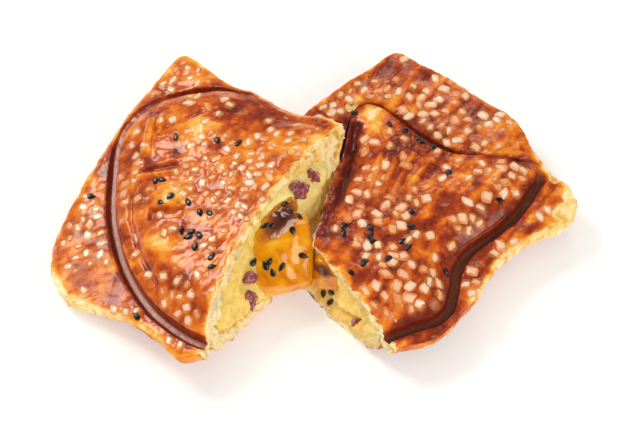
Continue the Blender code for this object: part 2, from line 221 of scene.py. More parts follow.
# How the pressed line's floor and darker wall are coloured across it, from 0 at the body to 3 at the rim.
# The wall's dark red-brown is deeper browning and painted shade, on the wall that faces away from the light;
# on the head the floor band also carries a painted sheen.
GROOVE_BANDS = {
    "head": {
        "floor": ((0.85, 1.0, 1.6, 1.8), (0, 1, 1, 0)),
        "wall": ((1.6, 1.85, 2.6, 3.0), (0, 0.75, 0.6, 0)),
    },
    "tail": {
        "floor": ((0.6, 0.8, 2.0, 2.3), (0, 1, 1, 0)),
        "wall": ((0.0, 0.45, 0.7, 0.8), (0, 0.8, 1, 0)),
    },
}

# Spots where the sheet's side stayed pale, where the skin was torn off the sheet, where the egg wash is thin,
# and where the purple filling shows through the skin.
PALE = {
    "head": (
        (-57, -43, 6, 0.9), (-50, -43, 6, 0.9), (-42, -43, 5, 0.7), (-35, -42, 4.5, 0.45),
        (-3, 47, 6, 0.5),
    ),
    "tail": (
        (81, -41, 6, 1), (75, -43, 6, 1), (68, -43.5, 5, 0.8), (60, -41.5, 5, 0.7), (52, -40, 5, 0.6),
        (45, -40, 4, 0.5), (36, -42.5, 4.5, 0.9), (79.5, -24, 3.5, 0.5),
    ),
}
BARE = {
    "head": ((-57, -43.5, 2.4, 1), (-51, -43, 2.6, 1), (-44, -43, 2, 1)),
    "tail": (
        (74.5, -42, 6, 1), (81.5, -39.5, 6, 1), (67.5, -43.5, 3.6, 1), (61, -42, 1.8, 1),
        (81.8, -29.5, 2.6, 1), (36, -43, 2.8, 1), (53, 36.5, 2.4, 1),
    ),
}
DULL = {"head": ((-52, -34, 15, 1),), "tail": ()}
BERRY = {"head": ((-44.4, 15.4, 1.9, 1),), "tail": ()}

# ---------------------------------------------------------------- what is strewn on it

# Sesame: where it lies on top (x, y), and on the torn face (y, z), looking in at it with that slant.
SESAME_SIZE = (3.1, 1.8, 0.85)
SESAME_ON_TOP = {
    "head": (
        (-48, 20), (-34, 24), (-27, 26), (-45, 3), (-43, 4), (-66, -8), (-38, -4), (-36, -1), (-30, 0),
        (-24, -2), (-21, -1), (-26, -10), (-23, -11), (-23, -9), (-20, -9), (-19, -13), (-12, -14),
        (-10, -17), (-27, -39),
    ),
    "tail": (
        (50, 32), (55, 20), (57, 15), (58, 10), (58, 8), (59, 4), (55, -7), (60, -25), (35, -10), (31, -14),
        (15, 0), (13, -2), (21, -6), (19, -8), (18, -10), (25, -16), (25, -19), (17, -18), (10, -14),
        (11, -14), (29, -32), (5, -14),
    ),
}
SESAME_AT_TEAR = {
    "head": (
        (13.7, 9.8), (9.4, 10.1), (12.0, 6.6), (12.6, 2.9), (3.6, 11.8), (5.2, 9.8), (7.5, 2.1), (-7.5, 6.6),
        (-6.3, 2.1), (-5.0, 1.8), (-6.6, -2.0), (-3.7, -3.2), (3.2, -7.4),
    ),
    "tail": ((-8.5, -2.7), (-9.4, -7.0), (-5.6, -7.0)),
}
SLANT = 0.8

# From how far above the skin, and in front of the torn face, the place of a strewn thing is looked for.
ABOVE = 60.0
IN_FRONT = 40.0

# Pearl sugar: how far it lies from the next lump, the sheet's edge, a seed and the pressed line, how thickly it
# lies on each half, and where more so: spots of (x, y, radius, amount).
SUGAR_SPACING = 2.8
SUGAR_TRIES = 5000
SUGAR_SIZE = {"head": 2.4, "tail": 2.8}
SUGAR_BASE = {"head": 0.008, "tail": 0.02}
SUGAR_TO_EDGE = 1.3
SUGAR_TO_SESAME = 1.4
SUGAR_TO_GROOVE = 3.2
SUGARED = {
    "head": (
        (-23, 12, 7, 0.6), (-20, 18, 6, 0.5), (-14, 20, 5, 0.4), (-20, 31, 4, 0.3), (-9, 35, 5, 0.6),
        (-38, 23, 5, 0.3), (-12, 8, 7, 0.25), (-34, 8, 4, 0.15), (-58, -22, 9, 0.45),
        (-61, -10, 6, 0.5), (-66, 45, 6, 0.9), (-64, 37, 4, 0.4), (-9, -40, 5, 0.5), (-19, -31, 4, 0.4),
        (-12, -29, 4, 0.5), (-58, 12, 4, 0.3), (-58, 0, 4, 0.3),
    ),
    "tail": (
        (32, 10, 6, 0.9), (39, 21, 4, 0.4), (30, -8, 4, 0.35), (26, -15, 4, 0.6), (68, -19, 6, 0.95),
        (46, -24, 3, 0.9), (18, -33, 6.5, 0.95), (3, -25, 4, 0.9), (16, -16, 5, 0.5), (74, 20, 9, 0.55),
        (72, 8, 5, 0.9), (65, 16, 5, 0.9), (80, -2, 6, 0.6), (60, 39, 8, 0.5), (34, -42, 5, 0.9),
        (52, -37, 5, 0.4), (66, -35, 4, 0.1), (45, 38, 6, 0.4), (54, -6, 3, 0.4),
    ),
}

# How many crumbs are tried along each half's tear.
CRUMBS = 70

# Syrup over the torn faces: (half, centre and size along (y, z), turned by, thickness, seed).
PUDDLES = (
    ("head", (8.6, 7.9), (10.0, 5.2), -14.0, 0.55, 1.0),
    ("tail", (-4.0, 5.8), (5.0, 3.2), -10.0, 0.4, 2.0),
)

RANDOM_SEED = 7

# ---------------------------------------------------------------- colours, light and camera

# Colours along each finish, as they look, in 0..255.
BROWNS = (
    (0.00, (250, 226, 170)),
    (0.12, (249, 200, 112)),
    (0.26, (244, 164, 54)),
    (0.42, (230, 126, 26)),
    (0.58, (202, 88, 18)),
    (0.74, (158, 56, 20)),
    (0.90, (116, 36, 18)),
    (1.00, (86, 28, 18)),
)
DOUGHS = ((0.14, (204, 138, 50)), (0.36, (228, 176, 84)), (0.48, (246, 208, 128)), (0.62, (254, 232, 178)))
PASTES = ((0.25, (226, 179, 74)), (0.5, (245, 207, 104)), (0.8, (254, 233, 152)))
GLAZED = ((0.25, (200, 104, 2)), (0.5, (232, 150, 6)), (0.75, (250, 184, 34)))
PURPLES = ((0.3, (104, 34, 48)), (0.5, (150, 64, 76)), (0.7, (212, 150, 132)))
SUGARS = ((0.0, (224, 130, 62)), (0.25, (236, 168, 116)), (0.6, (246, 200, 164)), (1.0, (253, 226, 204)))
SEEDS = ((0.0, (16, 16, 18)), (0.3, (40, 40, 42)), (0.6, (120, 110, 100)), (1.0, (214, 190, 160)))
SYRUPS = ((0.15, (60, 22, 16)), (0.5, (96, 42, 28)), (0.75, (146, 76, 32)), (0.95, (214, 130, 16)))
SUGAR_GLAZE = (242, 164, 84)
# The groove wall's colour is deeper browning and painted shade, the floor's is its own, and the sheen is a
# painted reflection.
WALL_BROWN_AND_SHADE = (104, 28, 18)
GROOVE_FLOOR = (116, 68, 46)
PAINTED_GROOVE_SHEEN = (206, 132, 116)
BERRY_STAIN = (84, 26, 44)
PASTE_STAIN = (247, 209, 110)

# The finishes whose colours follow a noise: as grained_finish takes them, and what is the same all over.
FINISHES = {
    # The paste's deep value also carries painted light on the head, past the chunk.
    "sweet_potato_paste": (
        (PASTES, (2.6, 4.0, 0.6, 0.8), ("deep", 0.15, 1.0, 0.0), ((0.8, 4.0, 0.65), 0.2, 0.6), (0.35, 0.6)),
        {"Subsurface_Weight": 0.3, "Subsurface_Scale": 0.002, "Coat_Weight": 0.3, "Coat_Roughness": 0.2},
    ),
    "glazed_sweet_potato": (
        (GLAZED, (5.0, 3.0, 0.5, 0.5), None, ((7.0, 1.0, 0.4, 0.3), 0.8, 0.4), 0.22),
        {
            "Subsurface_Weight": 0.4,
            "Subsurface_Scale": 0.004,
            "Coat_Weight": 0.9,
            "Coat_Roughness": 0.06,
            "Specular_IOR_Level": 0.15,
        },
    ),
    "purple_sweet_potato": (
        (PURPLES, (1.2, 4.0, 0.6), None, ((0.6, 4.0, 0.6), 0.2, 0.7), 0.4),
        {"Subsurface_Weight": 0.15, "Subsurface_Scale": 0.001, "Coat_Weight": 0.3},
    ),
    "torn_crumbs": (
        (BROWNS, (0.9, 4.0, 0.65), ("tone", 0.4, 0.24, -0.12), ((0.5, 3.0, 0.6), 0.15, 0.6), (0.6, 0.8)),
        {"Specular_IOR_Level": 0.2},
    ),
    "dark_syrup": (
        (SYRUPS, (2.5, 3.0, 0.5, 0.8), ("thin", 0.8, 0.4, 0.0), ((2.0, 2.0, 0.5), 0.3, 0.5), 0.2),
        {"Coat_Weight": 1.0, "Coat_Roughness": 0.04, "Specular_IOR_Level": 0.4},
    ),
    "pearl_sugar": (
        (SUGARS, (0.9, 3.0, 0.6), ("tone", 1.0, 0.5, -0.25), ((0.5, 3.0, 0.6), 0.15, 0.5), 0.25),
        {"Subsurface_Weight": 0.3, "Subsurface_Scale": 0.001, "Coat_Weight": 0.9, "Coat_Roughness": 0.09},
    ),
    "black_sesame": (
        (SEEDS, (0.5, 3.0, 0.6), ("tone", 1.0, 0.2, -0.1), ((0.35, 2.0, 0.6), 0.06, 0.6), 0.38),
        {"Coat_Weight": 0.8, "Coat_Roughness": 0.12},
    ),
}

# The studio: its even light's strength, the part of it that glossy things show, the white floor, and the soft
# boxes: (place, size, power, whether glossy things show them), in metres and watts.
AMBIENT = 0.50
AMBIENT_IN_GLOSS = 0.12
FLOOR_SIZE = 6.0
FLOOR_GLOW = 0.28
LIGHT_COLOUR = (1.0, 0.94, 0.84)
LIGHTS = {
    "key": ((-0.36, 0.28, 0.48), 0.22, 2.0, True),
    "back": ((0.10, 0.50, 0.48), 0.16, 0.40, True),
    "front": ((0.00, -0.62, 0.26), 0.50, 1.6, False),
    "side": ((0.52, -0.25, 0.38), 0.30, 1.2, True),
}

# The camera looks down on the front of the pastry.
CAMERA_ELEVATION = 57.0
CAMERA_DISTANCE = 567.0
CAMERA_TARGET = (0.20, -5.31, 12.0)
CAMERA_LENS = 100.0
CAMERA_SENSOR = 36.0

# ---------------------------------------------------------------- numbers and fields


def smoothstep(value):
    t = np.clip(value, 0.0, 1.0)
    return t * t * (3 - 2 * t)


def unit(vectors):
    return vectors / np.linalg.norm(vectors, axis=-1, keepdims=True)


def lumps(x, y, z, size, seed=0.0):
    """Smooth noise, about -0.7..0.7, with lumps of that size."""
    x, y, z = np.broadcast_arrays(x, y, z)
    flat = zip(x.ravel() / size, y.ravel() / size, z.ravel() / size)
    return np.array([noise.noise((a, b, c + seed)) for a, b, c in flat]).reshape(x.shape)


def roughness(x, y, z, size, octaves, seed=0.0):
    """Fractal noise, about -1..1, whose largest lumps have that size."""
    return sum(0.55**i * lumps(x, y, z, size * 0.5**i, seed + 11.3 * i) for i in range(octaves))


def bump(x, y, centre, radius):
    """A smooth mound of height 1."""
    return np.exp(-((x - centre[0]) ** 2 + (y - centre[1]) ** 2) / radius**2)


def mounds(x, y, spots, widen=1.0):
    """A mound at every spot of a table of (x, y, radius, amount), after a flat one for a table with none."""
    return [0.0 * x] + [high * bump(x, y, place, radius * widen) for *place, radius, high in spots]


def ridge(x, y, start, end, width, soft=1.0):
    """1 along the line from start to end, falling to 0 over its width, and past its ends."""
    ax, ay = start
    dx, dy = end[0] - ax, end[1] - ay
    t = np.clip(((x - ax) * dx + (y - ay) * dy) / (dx * dx + dy * dy), 0, 1)
    away = np.hypot(x - ax - t * dx, y - ay - t * dy)
    return np.exp(-((away / width) ** (2 * soft)))


def path(x, y, points, width):
    """The same along a line of several points."""
    return np.maximum.reduce([ridge(x, y, a, b, width) for a, b in zip(points, points[1:])])


def slab(x, y, start, end, half_width, soft):
    """1 within half_width of the line from start to end, with edges that soft."""
    ax, ay = start
    length = math.hypot(end[0] - ax, end[1] - ay)
    dx, dy = (end[0] - ax) / length, (end[1] - ay) / length
    along = (x - ax) * dx + (y - ay) * dy
    across = np.abs((y - ay) * dx - (x - ax) * dy)
    within = np.minimum(np.minimum(along, length - along), half_width - across)
    return smoothstep(within / soft + 0.5)


def distance(x, y, line):
    """How far the points are from the nearest point of a line."""
    points = np.stack([x, y], -1).reshape(-1, 2)
    parts = [
        np.sqrt(((chunk[:, None] - line[None]) ** 2).sum(-1).min(1))
        for chunk in np.array_split(points, max(len(points) // 4000, 1))
    ]
    return np.concatenate(parts).reshape(np.shape(x))


# ---------------------------------------------------------------- the halves


class Half:
    """One torn half: its frame, its lines, and the shapes that follow them."""

    def __init__(self, name, data):
        self.name = name
        self.data = data
        self.inward = data["inward"]
        turn = Matrix.Rotation(math.radians(data["turn"]), 3, "Z")
        pitch = Matrix.Rotation(math.radians(-data["pitch"]), 3, "Y")
        roll = Matrix.Rotation(math.radians(data["roll"]), 3, "X")
        self.axes = np.array(turn @ pitch @ roll)
        self.origin = np.array(data["origin"])
        _, self.groove_line, self.rim_line, _ = self.lines(240)

    def lines(self, columns):
        """The spine, pressed line and edge, one point of each for every column, and the line's press."""
        known = np.array(self.data["stations"], float)
        last = len(known) - 1
        known = np.vstack([2 * known[0] - known[1], known, 2 * known[-1] - known[-2]])
        place = np.interp(np.linspace(0, 1, columns + 1), (0, 0.5, 1), (0, self.data["fold"], last))
        first = np.minimum(place.astype(int), last - 1)
        t = (place - first)[:, None]
        a, b, c, d = (known[first + i] for i in range(4))
        square, cube = 2 * a - 5 * b + 4 * c - d, 3 * b - a - 3 * c + d
        line = 0.5 * (2 * b + (c - a) * t + square * t**2 + cube * t**3)
        start, end = (np.array(p) for p in self.data["spine"])
        share = 1 - np.abs(1 - 2 * np.linspace(0, 1, columns + 1))
        spines = start + share[:, None] * (end - start)
        grooves, edges = line[:, :2], line[:, 2:4]
        wave = 0.45 * lumps(*edges.T, 0.0, 6.0, 2.0) + 0.35 * lumps(*edges.T, 0.0, 2.2, 9.0)
        return spines, grooves, edges + wave[:, None] * unit(edges - grooves), line[:, 4].clip(0, 1)

    def to_groove(self, x, y):
        """The distance to the middle of the pressed line."""
        return distance(x, y, self.groove_line)

    def to_edge(self, x, y):
        """The distance to the sheet's edge."""
        return distance(x, y, self.rim_line)

    def crown(self, side, x, y):
        """The height of the fish's body inside the pressed line."""
        near, far = self.data["crown"][side]
        shoulder = self.data["shoulder"][side]
        peak = near + (far - near) * np.minimum(np.abs(x) / self.data["length"], 1.0)
        depth = self.to_groove(x, y) - GROOVE_HALF_WIDTH - GROOVE_WALL
        rise = 1 - np.exp(-np.maximum(depth, 0.0) / CROWN_REACH)
        uneven = UNEVEN_HEIGHT * lumps(x, y, 0.0, UNEVEN_LENGTH, 3.0 * side)
        return shoulder + (peak - shoulder) * rise + uneven * rise

    def tear_x(self, y):
        """Where the torn edge lies at y, on the mid-plane."""
        first, last = self.data["stations"][0], self.data["stations"][-1]
        tear = (first[2:4], first[:2], self.data["spine"][0], last[:2], last[2:4])
        return np.interp(y, [p[1] for p in tear], [p[0] for p in tear])

    def torn(self, x, y, z, forward=0.0, fray=0.0):
        """Points moved so that the torn edge leans back and is ragged, fading out into the half."""
        data = self.data
        behind = np.abs(x - self.tear_x(y))
        span = np.maximum(1 - ((y - data["lean_centre"]) / 48.0) ** 2, 0.0)
        lean = np.where(z > 0, data["lean"][TOP], data["lean"][BOTTOM]) * np.abs(z) / LEAN_HEIGHT
        rag = RAGGED_DEPTH * lumps(0.0, y / RAGGED_LENGTH, z / RAGGED_LENGTH, 1.0, 0.0)
        back = lean * span * np.exp(-behind / 14.0) + rag * np.exp(-behind / 4.0)
        back = back + fray * np.exp(-behind / 1.2)
        place, lift, reach = data["lift"]
        moved = x + self.inward * (back - forward * np.exp(-behind / 8.0))
        return np.stack(np.broadcast_arrays(moved, y, z + lift * bump(x, y, place, reach)), -1)

    def inside(self, x, y, margin):
        """True for points of the sheet that are further than margin from its edge and from the tear."""
        outline = np.vstack([self.rim_line, self.data["spine"][0]])
        ax, ay = outline.T
        bx, by = np.roll(outline, -1, axis=0).T
        rise = np.where(by == ay, 1e-9, by - ay)
        crossed = ((ay > y) != (by > y)) & (x < (bx - ax) * (y - ay) / rise + ax)
        away = self.to_edge(np.array([x]), np.array([y]))[0]
        return crossed.sum() % 2 == 1 and away > margin and self.inward * (x - self.tear_x(y)) > margin

    def strew(self, rng):
        """Chooses where the sugar lumps lie: x, y and how milky each is."""
        taken = [(1e3, 1e3, 0.0)]
        seeds = np.array(SESAME_ON_TOP[self.name], float)
        low, high = self.rim_line.min(0), self.rim_line.max(0)
        for _ in range(SUGAR_TRIES):
            x, y = rng.uniform(low, high)
            drift = max(noise.noise((x / 6.0, y / 6.0, self.inward * 5.0)), 0.0)
            thick = SUGAR_BASE[self.name] + 0.20 * drift + sum(mounds(x, y, SUGARED[self.name]))
            spacing = SUGAR_SPACING * rng.uniform(0.9, 1.2)
            if rng.random() > thick or not self.inside(x, y, SUGAR_TO_EDGE) or bared(self, x, y) > 0.1:
                continue
            if self.name == "tail" and path(x, y, SEAM, 3.2) > 0.4:
                continue
            others = (np.array(taken)[:, :2], seeds, self.groove_line)
            away = [np.hypot(*(places - (x, y)).T).min() for places in others]
            if away[0] < spacing or away[1] < SUGAR_TO_SESAME or away[2] < SUGAR_TO_GROOVE:
                continue
            taken.append((x, y, rng.random()))
        self.sugar = np.array(taken[1:])

    def nearest_sugar(self, x, y):
        """The distance to the nearest sugar lump, and how milky that one is."""
        away, milky = np.full(x.shape, 1e3), np.zeros(x.shape)
        for sx, sy, tone in self.sugar:
            here = np.hypot(x - sx, y - sy)
            closer = here < away
            away[closer] = here[closer]
            milky[closer] = tone
        return away, milky

    def world(self, points):
        """Points of this half's frame in the model's, in metres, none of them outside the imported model."""
        placed = (np.asarray(points) @ self.axes.T + self.origin) * MM
        return np.clip(placed, *cad_box)

    def local(self, place):
        """A place of the model's frame, in metres, in this half's frame."""
        return (np.array(place) / MM - self.origin) @ self.axes

    def direction(self, vector):
        return Vector(self.axes @ np.array(vector, float))


class Mesh:
    """Points and faces gathered for one piece, with a named value of each kind at every point."""

    def __init__(self, *kinds):
        self.points = []
        self.faces = []
        self.charts = []
        self.values = {kind: [] for kind in kinds}
        self.count = 0

    def add(self, points, **values):
        """The numbers of new points, in the shape that they come in."""
        shape = points.shape[:-1]
        self.points.append(points.reshape(-1, 3))
        for kind, gathered in self.values.items():
            gathered.append(np.broadcast_to(values.get(kind, 0.0), shape).ravel())
        numbers = np.arange(self.count, self.count + int(np.prod(shape))).reshape(shape)
        self.count += numbers.size
        return numbers

    def quilt(self, numbers, across=0.0, along=0.0):
        """Four-sided faces over a grid of point numbers, and where those lie on the map for baking."""
        first, second = slice(None, -1), slice(1, None)
        corners = ((first, first), (first, second), (second, second), (second, first))
        chart = np.stack(np.broadcast_arrays(across, along, numbers)[:2], -1)
        self.faces.append(np.stack([numbers[corner] for corner in corners], -1).reshape(-1, 4))
        self.charts.append(np.stack([chart[corner] for corner in corners], -2).reshape(-1, 4, 2))

    def build(self, name, half, mapped=False):
        """The mesh, with the map if mapped is true. Of a face with two equal corners three are kept."""
        faces, places = [], []
        for quad, chart in zip(np.concatenate(self.faces).tolist(), np.concatenate(self.charts)):
            kept = [i for i in range(4) if quad[i] != quad[i - 1]]
            if len(kept) > 2:
                faces.append([quad[i] for i in kept])
                places.append(chart[kept])
        mesh = bpy.data.meshes.new(name)
        mesh.from_pydata(half.world(np.concatenate(self.points)), [], faces)
        if mapped:
            layer = mesh.uv_layers.new(name="OFBake")
            layer.data.foreach_set("uv", np.concatenate(places).ravel().astype(np.float32))
        for kind, gathered in self.values.items():
            give(mesh, kind, np.concatenate(gathered))
        outward(mesh)
        return mesh


def finished(name, work):
    """The mesh of a shape that needs no more work."""
    mesh = bpy.data.meshes.new(name)
    work.to_mesh(mesh)
    work.free()
    return mesh


def give(mesh, kind, values):
    """Gives every point of a mesh a value of that kind."""
    layer = mesh.attributes.new(kind, "FLOAT", "POINT")
    layer.data.foreach_set("value", np.array(values, np.float32))


def outward(mesh):
    """Turns the faces of closed bodies outwards and shades them smooth."""
    work = bmesh.new()
    work.from_mesh(mesh)
    bmesh.ops.recalc_face_normals(work, faces=work.faces)
    if work.calc_volume(signed=True) < 0:
        bmesh.ops.reverse_faces(work, faces=work.faces)
    work.to_mesh(mesh)
    work.free()
    mesh.shade_smooth()


def shown(name, data):
    """A new object in the scene."""
    obj = bpy.data.objects.new(name, data)
    bpy.context.scene.collection.objects.link(obj)
    return obj


def piece(name, mesh, finish, slot, *nodes):
    """A shown object that rides on the pastry's one body and stands for those nodes."""
    obj = shown(name, mesh)
    mesh.materials.append(finish)
    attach(obj, "root")
    if nodes:
        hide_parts(*nodes)


def sewn(numbers):
    """Gives a face's two halves the same points along the spine, where they meet."""
    middle = numbers.shape[1] // 2
    numbers[0, middle + 1 :] = numbers[0, :middle][::-1]
    return numbers


def along_tear(grid):
    """The values of a face's grid along the tear, from one end to the other."""
    return np.concatenate([grid[::-1, 0], grid[1:, -1]])


def between(faces, share):
    """The points between the top and bottom faces' lines along the tear, and those two lines."""
    above, below = (np.stack([along_tear(grid) for grid in faces[side]]) for side in (TOP, BOTTOM))
    return above, below, [above[i] + share * (below[i] - above[i]) for i in range(3)]


# ---------------------------------------------------------------- the crust


def seam(x, y, width):
    """1 along the crease beside the tail half's tear, weaker where it runs out towards the chunk."""
    return path(x, y, SEAM, width) * (0.2 + 0.8 * smoothstep((x - 16.0) / 11.0))


def head_relief(x, y):
    """The fish's face: bars behind the nose, an eye, a mouth under its lip, a cheek and their creases."""
    high = 1.2 * slab(x, y, (-60.9, 24.2), (-54.5, 11.0), 1.6, 0.9)
    high += 1.1 * slab(x, y, (-58.2, 26.6), (-53.9, 18.6), 0.8, 0.7)
    high += sum(mounds(x, y, ((-42.6, 28.5, 4.0, 1.0), (-37.0, -1.5, 4.6, 1.8), (-31.0, -14.5, 8.0, 1.4))))
    high -= 0.9 * path(x, y, ((-55.6, 20.5), (-49.7, 27.3), (-45.6, 33.3), (-34.3, 39.0)), 1.1)
    high -= 1.0 * path(x, y, ((-52.5, 4.6), (-47.0, 7.4), (-42.0, 10.8)), 0.9)
    high += 0.9 * path(x, y, ((-51.0, 2.8), (-46.0, 5.2), (-41.0, 8.2)), 1.2)
    recess = 2.2 * slab(x, y, (-40.0, -8.4), (-29.2, -3.6), 2.1, 0.7)
    high -= np.maximum(recess, 1.2 * slab(x, y, (-33.4, -0.8), (-29.6, -4.6), 0.7, 0.6))
    cheek = ((-50.5, 1.0), (-49.5, -6.0), (-45.5, -12.0), (-38.4, -18.9), (-32.0, -23.6), (-25.0, -27.5))
    return high - 1.1 * path(x, y, cheek, 1.0)


def tail_relief(x, y):
    """The rays of the fish's tail fin, fanning out from its root, and the crease beside the tear."""
    high = 0.7 * ridge(x, y, (30.0, 4.5), (44.0, 13.0), 1.1, 1.5)
    for start, end in (((32.0, 0.5), (46.5, 8.6)), ((36.0, -0.8), (51.5, 5.8)), ((41.0, -2.6), (54.5, 0.6))):
        high += 1.1 * ridge(x, y, start, end, 1.1, 1.5)
    return high - (1.2 + 0.5 * roughness(x, y, 0.0, 4.0, 2, 97.0)) * seam(x, y, 1.5)


RELIEF = {"head": head_relief, "tail": tail_relief}


def crust_rows(half, side):
    """A face's grids before the tear shapes it: places, heights, how pressed it is and its coloured bands."""
    spines, grooves, edges, presses = half.lines(COLUMNS)
    inwards, outwards = unit(spines - grooves), unit(edges - grooves)
    width = np.linalg.norm(edges - grooves, axis=1, keepdims=True)
    cut = pale_edges(half, *edges.T)[:, None] if side == TOP else 0.0 * width
    edges = edges - outwards * np.minimum(CUT_SLANT * cut if side == TOP else UNDERCUT, 0.3 * width)
    wall = GROOVE_HALF_WIDTH + GROOVE_WALL
    floor_out = grooves + outwards * np.minimum(GROOVE_HALF_WIDTH, 0.3 * width)
    flange_in = grooves + outwards * np.minimum(wall, 0.6 * width)
    shoulders, floor_in = grooves + inwards * wall, grooves + inwards * GROOVE_HALF_WIDTH
    knots = (shoulders, floor_in, floor_out, flange_in, (flange_in + edges) / 2, edges)
    body = spines + np.linspace(0, 1, BODY_ROWS + 1)[:, None, None] * (shoulders - spines)
    x, y = body[..., 0], body[..., 1]
    drop = EASED[half.name] * smoothstep((-8.0 - grooves[:, 1]) / 14.0) * (side == TOP)
    depth = np.maximum(half.to_groove(x, y) - wall, 0.0)
    height = half.crown(side, x, y) - drop * np.exp(-depth / EASED_REACH)
    shoulder = half.data["shoulder"][side] - drop
    pressed = (shoulder, GROOVE_HEIGHT, GROOVE_HEIGHT, FLANGE_HEIGHT, FLANGE_HEIGHT, EDGE_HEIGHT)
    smooth = [shoulder + share * (ROUND_EDGE_HEIGHT - shoulder) for share in (0, 0.1, 0.25, 0.45, 0.7, 1.0)]
    rows = {"place": [body], "height": [height]}
    rows.update({kind: [0.0 * height] for kind in ("grooved", "floor", "wall")})
    for i, count in enumerate(KNOT_ROWS):
        t = np.linspace(0, 1, count + 1)[1:, None]
        place = knots[i] + t[..., None] * (knots[i + 1] - knots[i])
        eased = (smoothstep(t), t, smoothstep(t), t, t**2)[i]
        deep = pressed[i] + eased * (pressed[i + 1] - pressed[i])
        flat = smooth[i] + t * (smooth[i + 1] - smooth[i])
        level = flat + presses * (deep - flat)
        if i == 4:
            level = level + 0.8 * cut[:, 0] * eased
        if i > 1:
            gentle = UNEVEN_HEIGHT * lumps(place[..., 0], place[..., 1], 0.0, UNEVEN_LENGTH, 7.0)
            level = level + gentle * (eased, 1.0, 1 - eased)[i - 2]
        rows["place"].append(place)
        rows["height"].append(level)
        rows["grooved"].append(presses * (smoothstep(t), t * 0 + 1, 1 - smoothstep(t), t * 0, t * 0)[i])
        for kind, band in GROOVE_BANDS[half.name].items():
            rows[kind].append(presses * np.interp(np.minimum(i + t, 3.0), *band))
    return {kind: np.concatenate(parts) for kind, parts in rows.items()}


def streaks(half, x, y, size, seed):
    """Noise drawn out along the way that the sheet was stretched."""
    way = math.radians(half.data["stretch"])
    along = x * math.cos(way) + y * math.sin(way)
    across = y * math.cos(way) - x * math.sin(way)
    return half.data["drawn"] * roughness(along * 0.3, across, 0.0, size, 3, seed)


def pale_edges(half, x, y):
    """How pale the sheet's edge stayed near (x, y), 0..1."""
    return np.clip(2.2 * np.maximum.reduce(mounds(x, y, PALE[half.name])), 0, 1)


def bared(half, x, y):
    """1 where the skin is gone and dough shows, with a ragged border."""
    near = np.maximum.reduce(mounds(x, y, BARE[half.name]))
    return smoothstep((near - 0.42 + 0.14 * roughness(x, y, 0.0, 2.6, 3, 71.0)) / 0.2)


def browning_and_shade(half, side, x, y, grooved, fine):
    """How browned the skin is, 0 for pale dough and 1 for the darkest, with painted shade added in places."""
    seed = half.data["turn"] + side
    wide = 0.20 * lumps(x, y, 0.0, 17.0, 3.0 + seed)
    patches = 0.26 * roughness(x, y, 0.0, 7.0, 3, 8.0 + seed) + 0.28 * streaks(half, x, y, 3.4, 47.0 + side)
    level = BROWN[half.name] + wide + patches - 0.25 * fine
    level = np.maximum(level, 0.26 + 0.4 * (level - 0.26))
    inner = np.arange(len(x))[:, None] <= BODY_ROWS
    # Beside the pressed line: deeper browning and painted shade of its walls, stronger towards -Y.
    darker_in, reach_in, darker_out, reach_out = BROWN_AND_SHADE_BESIDE_GROOVE[half.name]
    beside, reach = np.where(inner, darker_in, darker_out), np.where(inner, reach_in, reach_out)
    lower = 0.35 + 0.65 * smoothstep((14.0 - y) / 18.0)
    level = level + beside * lower * np.exp(-np.maximum(half.to_groove(x, y) - 1.6, 0.0) / reach)
    if side == TOP:
        # The spots include painted shade where the head half shades the tail.
        level = level + sum(mounds(x, y, BROWNING_AND_SHADE_SPOTS[half.name]))
        level = level - 0.22 * sum(mounds(x, y, BARE[half.name], 1.5))
    to_edge = half.to_edge(x, y)
    reach = 1.2 + 1.6 * np.maximum(roughness(x, y, 0.0, 4.0, 3, 61.0), 0)
    level = level - 0.6 * pale_edges(half, x, y) * np.exp(-((to_edge / reach) ** 2))
    level = level - GOLDEN_EDGE[half.name] * np.exp(-((to_edge / 1.5) ** 2))
    behind = np.abs(x - half.tear_x(y))
    golden = 0.34 * (1.0 if half.name == "head" else smoothstep((4.0 - y) / 8.0))
    level = level - golden * np.exp(-behind / (1.6 + 1.2 * roughness(x, y, 0.0, 4.0, 2, 67.0)))
    level = np.minimum(level, 0.76 + 0.45 * (level - 0.76))
    # Painted shade: the crease beside the tail half's tear is darkened where the head half shades it.
    if half.name == "tail" and side == TOP:
        level = level + 0.3 * seam(x, y, 2.2)
    return level + (0.80 - level) * grooved


